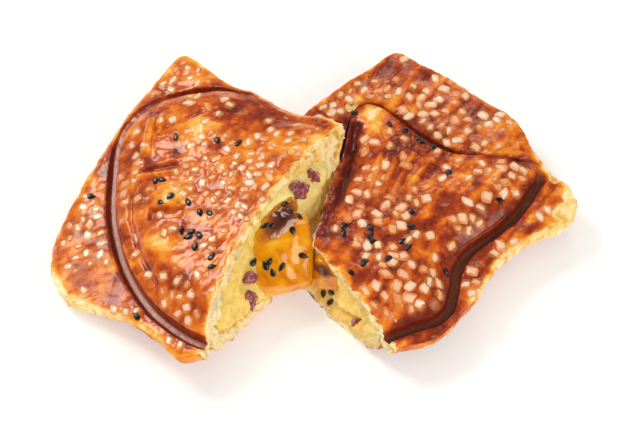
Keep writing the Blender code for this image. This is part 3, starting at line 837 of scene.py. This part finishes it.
def crust_face(made, half, side):
    """The point numbers of the sheet's top or underside, and its points before the tear shapes them."""
    rows = crust_rows(half, side)
    x, y = rows["place"][..., 0], rows["place"][..., 1]
    grooved, floor, wall = rows["grooved"], rows["floor"], rows["wall"]
    # Blisters: the fine unevenness of a glazed, baked face.
    fine = 0.30 * roughness(x, y, 0.0, 5.0, 3, 20.0 * side) + 0.19 * streaks(half, x, y, 2.6, 31.0 * side)
    fine = fine * (1 - 0.8 * grooved)
    height = rows["height"] + fine
    glazed = relief = bare = berry = 0.0 * x
    if side == TOP:
        relief = np.maximum(RELIEF[half.name](x, y), -1.5) * (1 - grooved)
        away, milky = half.nearest_sugar(x, y)
        level_ground = np.clip(1 - 4 * grooved, 0, 1)
        height = height + relief + 0.2 * level_ground * smoothstep((2.2 - away) / 1.2)
        bare = bared(half, x, y) * (np.arange(len(x))[:, None] > BODY_ROWS + sum(KNOT_ROWS[:3]))
        height = height - bare * (0.7 + 0.25 * roughness(x, y, 0.0, 3.0, 2, 83.0))
        glazed = level_ground * smoothstep((2.1 - away) / 0.8) * (0.45 + 0.55 * milky) * (1 - bare)
        berry = sum(mounds(x, y, BERRY[half.name]))
        # The crease also takes the groove wall's dark tint, as painted shade.
        if half.name == "tail":
            wall = np.maximum(wall, seam(x, y, 1.8) * (0.8 + 0.5 * lumps(x, y, 0.0, 3.0, 63.0)))
    z = side * height
    # Raised relief is coloured lighter, a painted highlight, and its hollows a little darker.
    numbers = made.add(
        half.torn(x, y, z, fray=0.9 * roughness(0.0, y, z, 2.2, 3, 5.0)),
        brown=browning_and_shade(half, side, x, y, grooved, fine) - 0.13 * np.maximum(relief, -0.6),
        glazed=glazed,
        rim=bare,
        floor=floor,
        wall=wall,
        # A painted sheen along the head's groove floor: a reflection painted into its colour.
        mauve=floor if half.name == "head" else 0.0,
        berry=berry,
        dull=sum(mounds(x, y, DULL[half.name])),
    )
    made.quilt(sewn(numbers), (np.abs(x) + (2 if side == TOP else 102)) / 200, (y + 48) / 206)
    return numbers, (x, y, z)


def sheet_side(made, half, numbers, faces):
    """The side of the sheet, a bulging edge of thin layers: the numbers of its points."""
    _, grooves, edges, _ = half.lines(COLUMNS)
    angles = np.linspace(0, math.pi, TEAR_LEVELS + 1)[:, None]
    above, below = ([grid[-1] for grid in faces[side]] for side in (TOP, BOTTOM))
    share = (1 - np.cos(angles[1:-1])) / 2
    x, y, z = (above[i] + share * (below[i] - above[i]) for i in range(3))
    layers = 0.6 * np.abs(roughness(x * 0.25, y * 0.25, z * 1.3, 1.0, 2, 9.0))
    ragged = 0.9 * pale_edges(half, *above[:2]) * roughness(*above[:2], z, 2.2, 3, 91.0)
    out = np.sin(angles[1:-1]) ** 0.6 * (EDGE_BULGE - layers + ragged)
    outwards = unit(edges - grooves)
    points = half.torn(x + out * outwards[:, 0], y + out * outwards[:, 1], z)
    pale = pale_edges(half, x, y)
    brown = 0.62 - GOLDEN_EDGE[half.name] - 0.4 * pale + 0.25 * roughness(x, y, z, 6.0, 3, 4.0)
    bare = np.sin(angles[1:-1]) ** 0.5 * (0.2 + 0.8 * pale) * (1 - 0.7 * smoothstep((share - 0.55) / 0.3))
    rim = made.add(points, rim=bare, brown=brown)
    run = np.cumsum(np.linalg.norm(np.diff(edges, axis=0, prepend=edges[:1]), axis=1))
    rows = np.concatenate([numbers[TOP][-1:], rim, numbers[BOTTOM][-1:]])
    made.quilt(rows, 0.01 + 0.98 * run / run[-1], 0.54 + 0.08 * angles / math.pi)
    return rim


def torn_face(made, half, numbers, faces, rim):
    """The torn face: dough inside the skin, round the mouth that the filling stands in."""
    angles = np.linspace(0, math.pi, TEAR_LEVELS + 1)[:, None]
    above, below, (x, y, z) = between(faces, (1 - np.cos(angles[1:-1])) / 2)
    limit = cavity_height(half, y[0])
    mouth = smoothstep((np.where(z > 0, limit[TOP], limit[BOTTOM]) - np.abs(z)) / 1.2)
    under = np.minimum(above[2] - z, z - below[2])
    layers = np.sin(2 * math.pi * (under / 1.1 + 1.6 * roughness(0.0, y, z, 7.0, 2, 41.0)))
    shreds = np.abs(roughness(0.0, y, z * 0.6, 3.6, 3, 13.0))
    leafy = smoothstep((-4.0 - y) / 12.0)
    crumb = (1.3 - 0.8 * leafy) * shreds + (0.10 + 0.60 * leafy) * layers - 0.4
    crumb = crumb * smoothstep(under / 0.8)
    low, high = half.data["filled"]
    yellow = smoothstep((under - 1.3) / 1.2) * smoothstep((y - low) / 8.0) * smoothstep((high - y) / 8.0)
    yellow = np.maximum(yellow, smoothstep(2 * mouth))
    points = half.torn(x + half.inward * (7.0 * mouth + crumb), y, z)
    # How far each point of the torn face is sunk in. The finish paints shade from it: darker, more golden dough
    # in the hollows.
    values = {"hollow": np.clip(crumb, -1, 1)[:, 1:-1], "paste": yellow[:, 1:-1]}
    face = made.add(points[:, 1:-1], torn=1.0, brown=0.3, **values)
    inside = np.concatenate([rim[:, :1], face, rim[:, -1:]], axis=1)
    lines = [along_tear(numbers[side])[None] for side in (TOP, BOTTOM)]
    rows = np.concatenate([lines[0], inside, lines[1]])
    made.quilt(rows, (above[1] + 50) / 110, 0.65 + 0.33 * angles / math.pi)


def crust_mesh(half):
    """The whole half as one closed body, with a mouth in its torn face for the filling."""
    kinds = ("brown", "torn", "rim", "glazed", "floor", "wall", "mauve", "berry", "dull", "hollow", "paste")
    made = Mesh(*kinds)
    numbers, faces = {}, {}
    for side in (TOP, BOTTOM):
        numbers[side], faces[side] = crust_face(made, half, side)
    rim = sheet_side(made, half, numbers, faces)
    torn_face(made, half, numbers, faces, rim)
    return made.build(f"{half.name}_crust_skin", half, mapped=True)


# ---------------------------------------------------------------- the filling


def cavity_height(half, y):
    """How high the filling reaches above and below the mid-plane at the tear, 0 where there is none."""
    start = half.data["spine"][0][1]
    low, high = half.data["hollow"]
    first, last = half.data["stations"][0][1], half.data["stations"][-1][1]
    reach = np.where(y < start, low * (first - start), high * (last - start))
    tau = np.clip((y - start) / reach, 0, 1)
    x = half.tear_x(y)
    arch = np.sqrt(1 - tau**4)
    return {side: np.maximum(half.crown(side, x, y) - CRUST, 0) * arch for side in (TOP, BOTTOM)}


def core_mesh(half):
    """The paste that fills the half's body, with a lumpy face where it shows at the tear."""
    spines, grooves = half.lines(CORE_COLUMNS)[:2]
    hollow = np.linspace(*half.data["hollow"], CORE_COLUMNS + 1)[:, None]
    shares = np.sin(np.linspace(0, math.pi / 2, CORE_ROWS + 1))
    x, y = np.moveaxis(spines + shares[:, None, None] * (grooves - spines) * hollow, -1, 0)
    forward, bulge = half.data["mouth"]
    made = Mesh("deep")
    numbers, faces = {}, {}
    for side in (TOP, BOTTOM):
        z = side * (half.crown(side, x, y) - CRUST + 0.2) * np.sqrt(1 - shares**4)[:, None]
        faces[side] = (x, y, z)
        numbers[side] = sewn(made.add(half.torn(x + half.inward * 0.6, y, z, forward)))
    numbers[BOTTOM][-1] = numbers[TOP][-1]
    above, below, (x, y, z) = between(faces, np.linspace(0, 1, CORE_LEVELS + 1)[1:-1, None])
    edge = np.minimum(np.minimum(above[2] - z, z - below[2]), np.minimum(y - y[:, :1], y[:, -1:] - y))
    rough = 0.7 * roughness(0.0, y, z, 7.0, 3, 17.0) + 0.3 * roughness(0.0, y, z, 1.6, 2, 23.0)
    (_, chunk_y, chunk_z), *_ = CHUNKS[half.name]
    nest = PASTE_NEST[half.name] * bump(y, z, (chunk_y + 1.0, chunk_z + 4.0), 8.5)
    nest = nest * (1 - 0.6 * smoothstep((y - chunk_y - 2.0) / 9.0))
    out = smoothstep(edge / 3.0) * (0.6 + bulge * 0.8 + rough - nest) + 0.25 * rough
    points = half.torn(x + half.inward * (0.6 - out), y, z, forward)
    # On the head the paste is painted paler past the chunk, as painted light where the tail half shades it.
    pale = 1.6 * smoothstep((y - chunk_y - 3.0) / 8.0) if half.name == "head" else 0.0
    face = made.add(points[:, 1:-1], deep=(rough + pale)[:, 1:-1])
    top_line, bottom_line = (along_tear(numbers[side])[None] for side in (TOP, BOTTOM))
    ends = (np.full((len(face), 1), top_line[0, i]) for i in (0, -1))
    inside = np.concatenate([next(ends), face, next(ends)], axis=1)
    for grid in (numbers[TOP], numbers[BOTTOM], np.concatenate([top_line, inside, bottom_line])):
        made.quilt(grid)
    return made.build(f"{half.name}_paste", half)


def brick(cuts):
    """A cube from -1 to 1 with its faces cut into smaller ones."""
    work = bmesh.new()
    bmesh.ops.create_cube(work, size=2.0)
    bmesh.ops.subdivide_edges(work, edges=work.edges, cuts=cuts, use_grid_fill=True)
    return work


def block_mesh(name, half, block, seed, cuts, rough, rough_size):
    """A rough block of the filling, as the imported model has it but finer."""
    centre, size, facing, spin, rounding = block
    work = brick(cuts)
    turn = Vector(facing).to_track_quat("Z", "Y").to_matrix().to_4x4()
    place = Matrix.Translation(Vector(centre)) @ turn @ Matrix.Rotation(math.radians(spin), 4, "Z")
    shifted = Vector((7 * seed, 0, 0))
    for v in work.verts:
        shape = v.co.lerp(v.co.normalized() * 1.2, rounding)
        shape *= 1 + 0.08 * noise.noise(shape * 1.3 + shifted)
        local = shape * Vector(size) / 2
        local += shape.normalized() * rough * noise.noise(local / rough_size + shifted)
        v.co = half.world(place @ local)
    mesh = finished(name, work)
    outward(mesh)
    return mesh


# ---------------------------------------------------------------- things scattered on the crust


class Ground:
    """Where the pieces of a half lie, for putting things on them."""

    def __init__(self, half, meshes):
        self.half = half
        points, faces = [], []
        for mesh in meshes:
            faces += [[len(points) + i for i in face.vertices] for face in mesh.polygons]
            points += [v.co.copy() for v in mesh.vertices]
        self.tree = BVHTree.FromPolygons(points, faces)

    def hit(self, x, y, z, way, back):
        """The place and the normal where a line through (x, y, z) meets the half, from that far back."""
        way = self.half.direction(way)
        return self.tree.ray_cast(Vector(self.half.world((x, y, z))) - way * back * MM, way)[:2]

    def under(self, x, y):
        """The place and the normal of the skin below (x, y)."""
        return self.hit(x, y, 0.0, (0, 0, -1), ABOVE)

    def facing(self, y, z):
        """The place and the normal at (y, z) of the torn face, looking in and down at it."""
        return self.hit(0.0, y, z, Vector((self.half.inward, 0, -SLANT)).normalized(), IN_FRONT)


def seat(place, normal, spin, sink=0.0):
    """A transform that lays a thing on a surface: Z along its normal, turned by spin, sunk by that much."""
    turn = normal.to_track_quat("Z", "Y").to_matrix().to_4x4() @ Matrix.Rotation(spin, 4, "Z")
    return Matrix.Translation(place - normal * sink * MM) @ turn


def small_shape(work, moved):
    """A shape's points, moved by a function and turned into metres, and its faces, in order of their points."""
    points = [moved(v.co) * MM for v in work.verts]
    work.verts.index_update()
    faces = sorted([v.index for v in face.verts] for face in work.faces)
    work.free()
    return points, faces


def seed_shape(size):
    """A sesame seed: a flat drop, pointed at one end."""
    work = bmesh.new()
    bmesh.ops.create_uvsphere(work, u_segments=14, v_segments=10, radius=1.0)

    def drop(co):
        narrow = 1 - 0.38 * co.z - 0.10 * co.z**2
        return Vector((co.z, co.x * narrow, co.y * (1 - 0.2 * co.z))) * Vector(size) / 2

    return small_shape(work, drop)


def grain_shape(size, rng):
    """A lump of pearl sugar: a worn, slanting little brick, and how near its side each point is."""
    work = brick(3)
    shift = Vector(rng.uniform(-50, 50, 3))
    slant, corner = rng.uniform(-0.25, 0.25), rng.uniform(2.6, 5.0)
    sides = np.array([max(abs(v.co.x), abs(v.co.y)) for v in work.verts])

    def worn(co):
        shape = co / sum(abs(c) ** corner for c in co) ** (1 / corner)
        shape *= 1 + 0.35 * noise.noise(shape * 0.8 + shift) + 0.12 * noise.noise(shape * 2.0 + shift)
        shape.x += slant * shape.y
        return shape * Vector(size) / 2

    return small_shape(work, worn), sides


def crumb_shape(size, rng):
    """A torn crumb or flake of pastry."""
    work = bmesh.new()
    bmesh.ops.create_icosphere(work, subdivisions=2, radius=0.5)
    shift = Vector(rng.uniform(-50, 50, 3))

    def rough(co):
        uneven = 1 + 0.7 * noise.noise(co * 2.2 + shift) + 0.35 * noise.noise(co * 5.0 + shift)
        return co * Vector(size) * uneven

    return small_shape(work, rough)


def gathered(name, parts):
    """One mesh of many small shapes: parts are (shape, transform, tone or a tone for each of its points)."""
    points, faces, tones = [], [], []
    low, high = np.array(cad_box)
    for (shape, sides), place, tone in parts:
        placed = [place @ point for point in shape]
        if (placed < low).any() or (placed > high).any():
            continue
        faces += [[len(points) + i for i in side] for side in sides]
        points += placed
        tones += np.broadcast_to(tone, len(placed)).tolist()
    mesh = bpy.data.meshes.new(name)
    mesh.from_pydata(points, [], faces)
    give(mesh, "tone", tones)
    mesh.shade_smooth()
    return mesh


def sesame(grounds, rng):
    """Black sesame seeds, lying flat where they were strewn."""
    parts = []
    for half, ground in grounds.items():
        places = [ground.under(x, y) for x, y in SESAME_ON_TOP[half.name]]
        places += [ground.facing(y, z) for y, z in SESAME_AT_TEAR[half.name]]
        for place, normal in places:
            if place is None:
                continue
            size = np.array(SESAME_SIZE) * rng.uniform(0.88, 1.1, 3)
            transform = seat(place, normal, rng.uniform(0, 2 * math.pi), sink=-0.22)
            tone = rng.choice([0.0, 0.0, 0.0, 0.0, 0.2]) + rng.uniform(0, 0.1)
            parts.append((seed_shape(size), transform, tone))
    return gathered("black_sesame", parts)


def sugar(grounds, rng):
    """Lumps of pearl sugar, sunk in the glaze so that little more than their faces shows."""
    parts = []
    for half, ground in grounds.items():
        x, y, milky = half.sugar.T
        for spot, tone in zip(half.torn(x, y, half.crown(TOP, x, y)), milky):
            place, normal = ground.under(*spot[:2])
            if place is None or normal.dot(half.direction((0, 0, 1))) < 0.75:
                continue
            length = SUGAR_SIZE[half.name] * (1.0 + 0.6 * rng.random() ** 1.4)
            size = (length, length * rng.uniform(0.58, 0.92), rng.uniform(1.0, 1.3))
            proud = rng.uniform(0.10, 0.30)
            transform = seat(place, normal, rng.uniform(0, math.pi), sink=size[2] / 2 - proud)
            shape, sides = grain_shape(size, rng)
            parts.append((shape, transform, 0.1 + 0.85 * tone - 0.5 * smoothstep(sides * 2 - 1)))
    return gathered("pearl_sugar", parts)


def crumbs(grounds, rng):
    """Crumbs and flakes that stand up along the torn edges."""
    parts = []
    for half, ground in grounds.items():
        low, high = half.data["stations"][0][3], half.data["stations"][-1][3]
        for _ in range(CRUMBS):
            y = rng.uniform(low + 2, high - 2)
            side = TOP if rng.random() < 0.55 else BOTTOM
            crown = float(half.crown(side, half.tear_x(np.array(y)), np.array(y)))
            depth = abs(rng.normal(0.0, 1.2))
            way = (half.inward, 0, 0)
            place, normal = ground.hit(0.0, y, side * (crown - depth), way, IN_FRONT)
            if place is None or normal.dot(half.direction(way)) > -0.15:
                continue
            found = half.local(place)
            if abs(found[0] - half.tear_x(found[1])) > 6.0:
                continue
            length = 0.5 + 1.3 * rng.random() ** 2
            size = (length, length * rng.uniform(0.4, 0.9), length * rng.uniform(0.3, 0.7))
            transform = seat(place, normal, rng.uniform(0, math.pi), sink=rng.uniform(-0.1, 0.25))
            transform = transform @ Matrix.Rotation(rng.uniform(-0.9, 0.9), 4, "X")
            shape = crumb_shape(size, rng)
            parts.append((shape, transform, min(max(1.2 - depth, 0), 1) * rng.random()))
    return gathered("crumbs", parts)


def puddle(half, ground, centre, size, turn, thick, seed):
    """A closed film of syrup laid over the torn face: centre and size along (y, z), turned by that angle."""
    angles = np.linspace(0, 2 * math.pi, PUDDLE_SPOKES + 1)
    circle = np.cos(angles), np.sin(angles)
    ragged = 1 + 0.22 * lumps(*circle, 0.0, 0.7, seed) + 0.10 * lumps(*circle, 0.0, 0.25, seed + 3)
    share = np.linspace(0, 1, PUDDLE_RINGS + 1)[:, None]
    a, b = (share * ragged * size[i] * circle[i] for i in range(2))
    spin = math.radians(turn)
    y = centre[0] + a * math.cos(spin) - b * math.sin(spin)
    z = centre[1] + a * math.sin(spin) + b * math.cos(spin)
    hits = np.array([[ground.facing(*spot) for spot in zip(*row)] for row in zip(y, z)])
    hits[:, -1] = hits[:, 0]
    places, normals = half.local(hits[..., 0, :]), hits[..., 1, :] @ half.axes
    film = places + normals * (thick * (1 - share**3))[..., None]
    for _ in range(3):
        inner = film[1:-1, :-1]
        around = np.roll(inner, 1, axis=1) + np.roll(inner, -1, axis=1) + film[:-2, :-1] + film[2:, :-1]
        film[1:-1, :-1] = 0.5 * inner + 0.125 * around
        film[:, -1] = film[:, 0]
    made = Mesh("thin")
    rims = []
    for grid in (film, places - normals * 0.5):
        numbers = made.add(grid, thin=share)
        numbers[0] = numbers[0, 0]
        numbers[:, -1] = numbers[:, 0]
        made.quilt(numbers)
        rims.append(numbers[-1])
    made.quilt(np.stack(rims))
    return made.build(f"syrup_{half.name}_{seed:g}", half)


def joined(name, meshes):
    """Several meshes as one."""
    work = bmesh.new()
    for mesh in meshes:
        work.from_mesh(mesh)
        bpy.data.meshes.remove(mesh)
    mesh = finished(name, work)
    mesh.shade_smooth()
    return mesh


# ---------------------------------------------------------------- finishes


class Nodes:
    """A node tree that is being built. A source is another node's socket or a constant."""

    def __init__(self, tree):
        self.tree = tree

    def feed(self, socket, source):
        if isinstance(source, bpy.types.NodeSocket):
            self.tree.links.new(source, socket)
        elif source is not None:
            socket.default_value = source

    def node(self, kind, output, settings, *sources, **named):
        """A new node's output. Sources go to its sockets in order, or by name with _ for a space."""
        node = self.tree.nodes.new("ShaderNode" + kind)
        for setting, value in settings.items():
            setattr(node, setting, value)
        for socket, source in zip(node.inputs, sources):
            self.feed(socket, source)
        for socket, source in named.items():
            self.feed(node.inputs[socket.replace("_", " ")], source)
        return node.outputs[output]

    def math(self, operation, *sources, clamp=False):
        return self.node("Math", 0, {"operation": operation, "use_clamp": clamp}, *sources)

    def times(self, a, b):
        return self.math("MULTIPLY", a, b)

    def span(self, source, low, high, to_low=0.0, to_high=1.0):
        return self.node("MapRange", "Result", {}, source, low, high, to_low, to_high)

    def value(self, kind):
        """A value that the mesh has at every point."""
        return self.node("Attribute", "Fac", {"attribute_name": kind})


class Finish(Nodes):
    """A Principled material and the nodes that feed it. Sizes are in millimetres, colours as they look."""

    def __init__(self, name, **sockets):
        self.material = bpy.data.materials.new(name)
        self.material.use_nodes = True
        super().__init__(self.material.node_tree)
        self.place = self.node("TexCoord", "Object", {})
        self.sockets = self.tree.nodes["Principled BSDF"].inputs
        for socket, value in sockets.items():
            self.sockets[socket.replace("_", " ")].default_value = value

    def noise(self, size, detail=3.0, rough=0.55, distort=0.0, shift=0.0, stretch=(1, 1, 1)):
        place = self.node("Mapping", "Vector", {}, self.place, Scale=stretch, Location=(shift, 0, 0))
        look = {"Scale": 1 / (size * MM), "Detail": detail, "Roughness": rough, "Distortion": distort}
        return self.node("TexNoise", "Fac", {}, place, **look)

    def mottled(self, level, texture, amount):
        """A level with a noise texture about it."""
        return self.math("MULTIPLY_ADD", self.math("SUBTRACT", texture, 0.5), amount, level)

    def ramp(self, source, stops):
        node = self.tree.nodes.new("ShaderNodeValToRGB")
        self.feed(node.inputs["Fac"], source)
        elements = node.color_ramp.elements
        while len(elements) < len(stops):
            elements.new(0.5)
        for element, (position, colour) in zip(elements, stops):
            element.position = position
            element.color = linear(colour)
        return node.outputs["Color"]

    def mix(self, factor, a, b):
        node = self.tree.nodes.new("ShaderNodeMix")
        node.data_type = "RGBA"
        for socket, source in ((node.inputs[0], factor), (node.inputs[6], a), (node.inputs[7], b)):
            self.feed(socket, linear(source) if isinstance(source, tuple) else source)
        return node.outputs[2]

    def bump(self, source, height, strength, after=None):
        look = {"Height": source, "Distance": height * MM, "Strength": strength, "Normal": after}
        return self.node("Bump", "Normal", {}, **look)

    def done(self, colour, roughness, normal):
        look = {"Base Color": colour, "Roughness": roughness, "Normal": normal, "Coat Normal": normal}
        for socket, source in look.items():
            self.feed(self.sockets[socket], source)
        return self.material


def linear(colour):
    """A colour in 0..255, as it looks, in the renderer's linear numbers."""
    parts = [c / 255 for c in colour]
    return (*(p / 12.92 if p <= 0.04045 else ((p + 0.055) / 1.055) ** 2.4 for p in parts), 1.0)


def crust_finish():
    """Egg-washed crust, from pale dough through gold and orange to red-brown, with its torn and cut edges."""
    look = {"Specular_IOR_Level": 0.15, "Coat_Weight": 0.75, "Coat_Roughness": 0.15, "Coat_IOR": 1.45}
    made = Finish("baked_crust", **look)
    fine = made.noise(1.4, 3.0, 0.6, distort=0.8)
    mottle = made.noise(4.0, 4.0, 0.58, distort=1.6, shift=3.0)
    level = made.mottled(made.mottled(made.value("brown"), mottle, 0.6), fine, 0.22)
    colour = made.ramp(level, BROWNS)
    for kind, share, tint in (
        ("glazed", 0.5, SUGAR_GLAZE),
        # The groove's wall: deeper brown and painted shade.
        ("wall", made.span(mottle, 0.35, 0.65, 0.65, 1.0), WALL_BROWN_AND_SHADE),
        ("floor", 0.85, GROOVE_FLOOR),
        # A painted sheen: the reflection on the head's groove floor, painted in.
        ("mauve", made.span(mottle, 0.35, 0.65, 0.55, 0.9), PAINTED_GROOVE_SHEEN),
        ("berry", made.span(fine, 0.25, 0.5), BERRY_STAIN),
    ):
        colour = made.mix(made.times(made.value(kind), share), colour, tint)
    layer = made.noise(2.6, 3.0, 0.5, stretch=(1, 1, 0.5))
    # Painted shade: the dough is darker and more golden where the torn face is sunk in.
    dough = made.ramp(made.math("MULTIPLY_ADD", made.value("hollow"), -0.36, layer), DOUGHS)
    dough = made.mix(made.times(made.value("paste"), 0.85), dough, PASTE_STAIN)
    bare = made.math("ADD", made.value("torn"), made.value("rim"), clamp=True)
    bare = made.span(made.mottled(bare, mottle, 0.8), 0.35, 0.75)
    rough = made.math("MULTIPLY_ADD", bare, 0.25, made.span(fine, 0.3, 0.7, 0.38, 0.5))
    normal = made.bump(made.noise(0.9, 4.0, 0.6), 0.14, 0.3)
    normal = made.bump(made.noise(3.2, 2.0, 0.45, shift=7.0), 0.45, 0.4, after=normal)
    coat = made.math("MULTIPLY_ADD", made.value("floor"), -0.3, made.math("MULTIPLY_ADD", bare, -0.7, 0.75))
    coat = made.math("SUBTRACT", coat, made.span(level, 0.7, 1.0, 0.0, 0.3), clamp=True)
    coat = made.times(coat, made.span(made.value("dull"), 0.0, 1.0, 1.0, 0.25))
    made.feed(made.sockets["Coat Weight"], coat)
    return made.done(made.mix(bare, colour, dough), rough, normal)


def grained_finish(name, stops, grain, level, relief, gloss, **sockets):
    """A finish whose colours follow a noise of that grain.

    The level is (a value of the mesh, its weight, the noise's, a constant), or None for the noise alone.
    The relief is (noise, height, strength), and gloss one roughness or its two ends along the noise.
    """
    made = Finish(name, **sockets)
    texture = along = made.noise(*grain)
    if level:
        kind, weight, share, base = level
        along = made.math("MULTIPLY_ADD", texture, share, base)
        along = made.math("MULTIPLY_ADD", made.value(kind), weight, along)
    fine, height, strength = relief
    normal = made.bump(made.noise(*fine), height, strength)
    rough = made.span(texture, 0.3, 0.7, *gloss) if isinstance(gloss, tuple) else gloss
    return made.done(made.ramp(along, stops), rough, normal)


# ---------------------------------------------------------------- studio


def studio():
    scene = bpy.context.scene
    scene.view_settings.view_transform = "Standard"
    scene.world = bpy.data.worlds.new("studio")
    scene.world.use_nodes = True
    made = Nodes(scene.world.node_tree)
    background = made.tree.nodes["Background"].inputs
    background["Color"].default_value = (1.0, 1.0, 1.0, 1.0)
    rays = made.tree.nodes.new("ShaderNodeLightPath").outputs
    dimmed = made.span(rays["Is Glossy Ray"], 0.0, 1.0, AMBIENT, AMBIENT * AMBIENT_IN_GLOSS)
    made.feed(background["Strength"], made.math("MAXIMUM", dimmed, rays["Is Camera Ray"]))
    bpy.ops.mesh.primitive_plane_add(size=FLOOR_SIZE, location=(0, 0, 0))
    floor = bpy.context.object
    floor.name = "studio_floor"
    look = {"Base_Color": (0.8, 0.8, 0.8, 1), "Emission_Color": (1, 1, 1, 1), "Emission_Strength": FLOOR_GLOW}
    floor.data.materials.append(Finish("studio_floor", Roughness=0.8, **look).material)
    for name, light in LIGHTS.items():
        soft_light(name, *light)


def aimed(name, data, place, way):
    """A light or camera at that place, looking that way."""
    obj = shown(name, data)
    obj.location = place
    obj.rotation_euler = way.to_track_quat("-Z", "Y").to_euler()
    return obj


def soft_light(name, place, size, power, shines):
    data = bpy.data.lights.new(name, "AREA")
    data.shape = "SQUARE"
    data.size = size
    data.energy = power
    data.color = LIGHT_COLOUR
    aimed(name, data, Vector(place), -Vector(place)).visible_glossy = shines


def camera():
    data = bpy.data.cameras.new("camera")
    data.lens = CAMERA_LENS
    data.sensor_width = CAMERA_SENSOR
    lift = math.radians(CAMERA_ELEVATION)
    back = Vector((0, -math.cos(lift), math.sin(lift)))
    place = (Vector(CAMERA_TARGET) + back * CAMERA_DISTANCE) * MM
    bpy.context.scene.camera = aimed("camera", data, place, -back)


# ---------------------------------------------------------------- the pastry

halves = {"head": Half("head", HEAD), "tail": Half("tail", TAIL)}
crust = crust_finish()
paste, glazed, purple, crumb, syrup, pearl, seed = (
    grained_finish(name, *look, **sockets) for name, (look, sockets) in FINISHES.items()
)
rng = np.random.default_rng(RANDOM_SEED)
grounds = {}
for i, (name, half) in enumerate(halves.items()):
    half.strew(rng)
    skin, core = crust_mesh(half), core_mesh(half)
    chunk = block_mesh(f"{name}_chunk_glazed", half, CHUNKS[name], i, *CHUNK_SURFACE)
    piece(f"{name}_crust_baked", skin, crust, "baked_crust", f"{name}_crust")
    piece(f"{name}_paste", core, paste, "sweet_potato_paste", f"{name}_filling")
    piece(f"{name}_chunk_glazed", chunk, glazed, "glazed_sweet_potato", f"{name}_chunk")
    grounds[half] = Ground(half, [skin, core, chunk])
for i, (name, *block) in enumerate(PURPLE_BITS):
    bit = block_mesh(f"purple_piece_{i + 1}", halves[name], block, i, *PURPLE_SURFACE)
    piece(f"purple_piece_{i + 1}", bit, purple, "purple_sweet_potato", f"purple_bit_{i + 1}")
piece("crumbs", crumbs(grounds, rng), crumb, "baked_crust")
puddles = [puddle(halves[name], grounds[halves[name]], *spot) for name, *spot in PUDDLES]
piece("syrup", joined("syrup", puddles), syrup, "glazed_sweet_potato")
piece("pearl_sugar", sugar(grounds, rng), pearl, "pearl_sugar")
piece("black_sesame", sesame(grounds, rng), seed, "black_sesame")
studio()
camera()
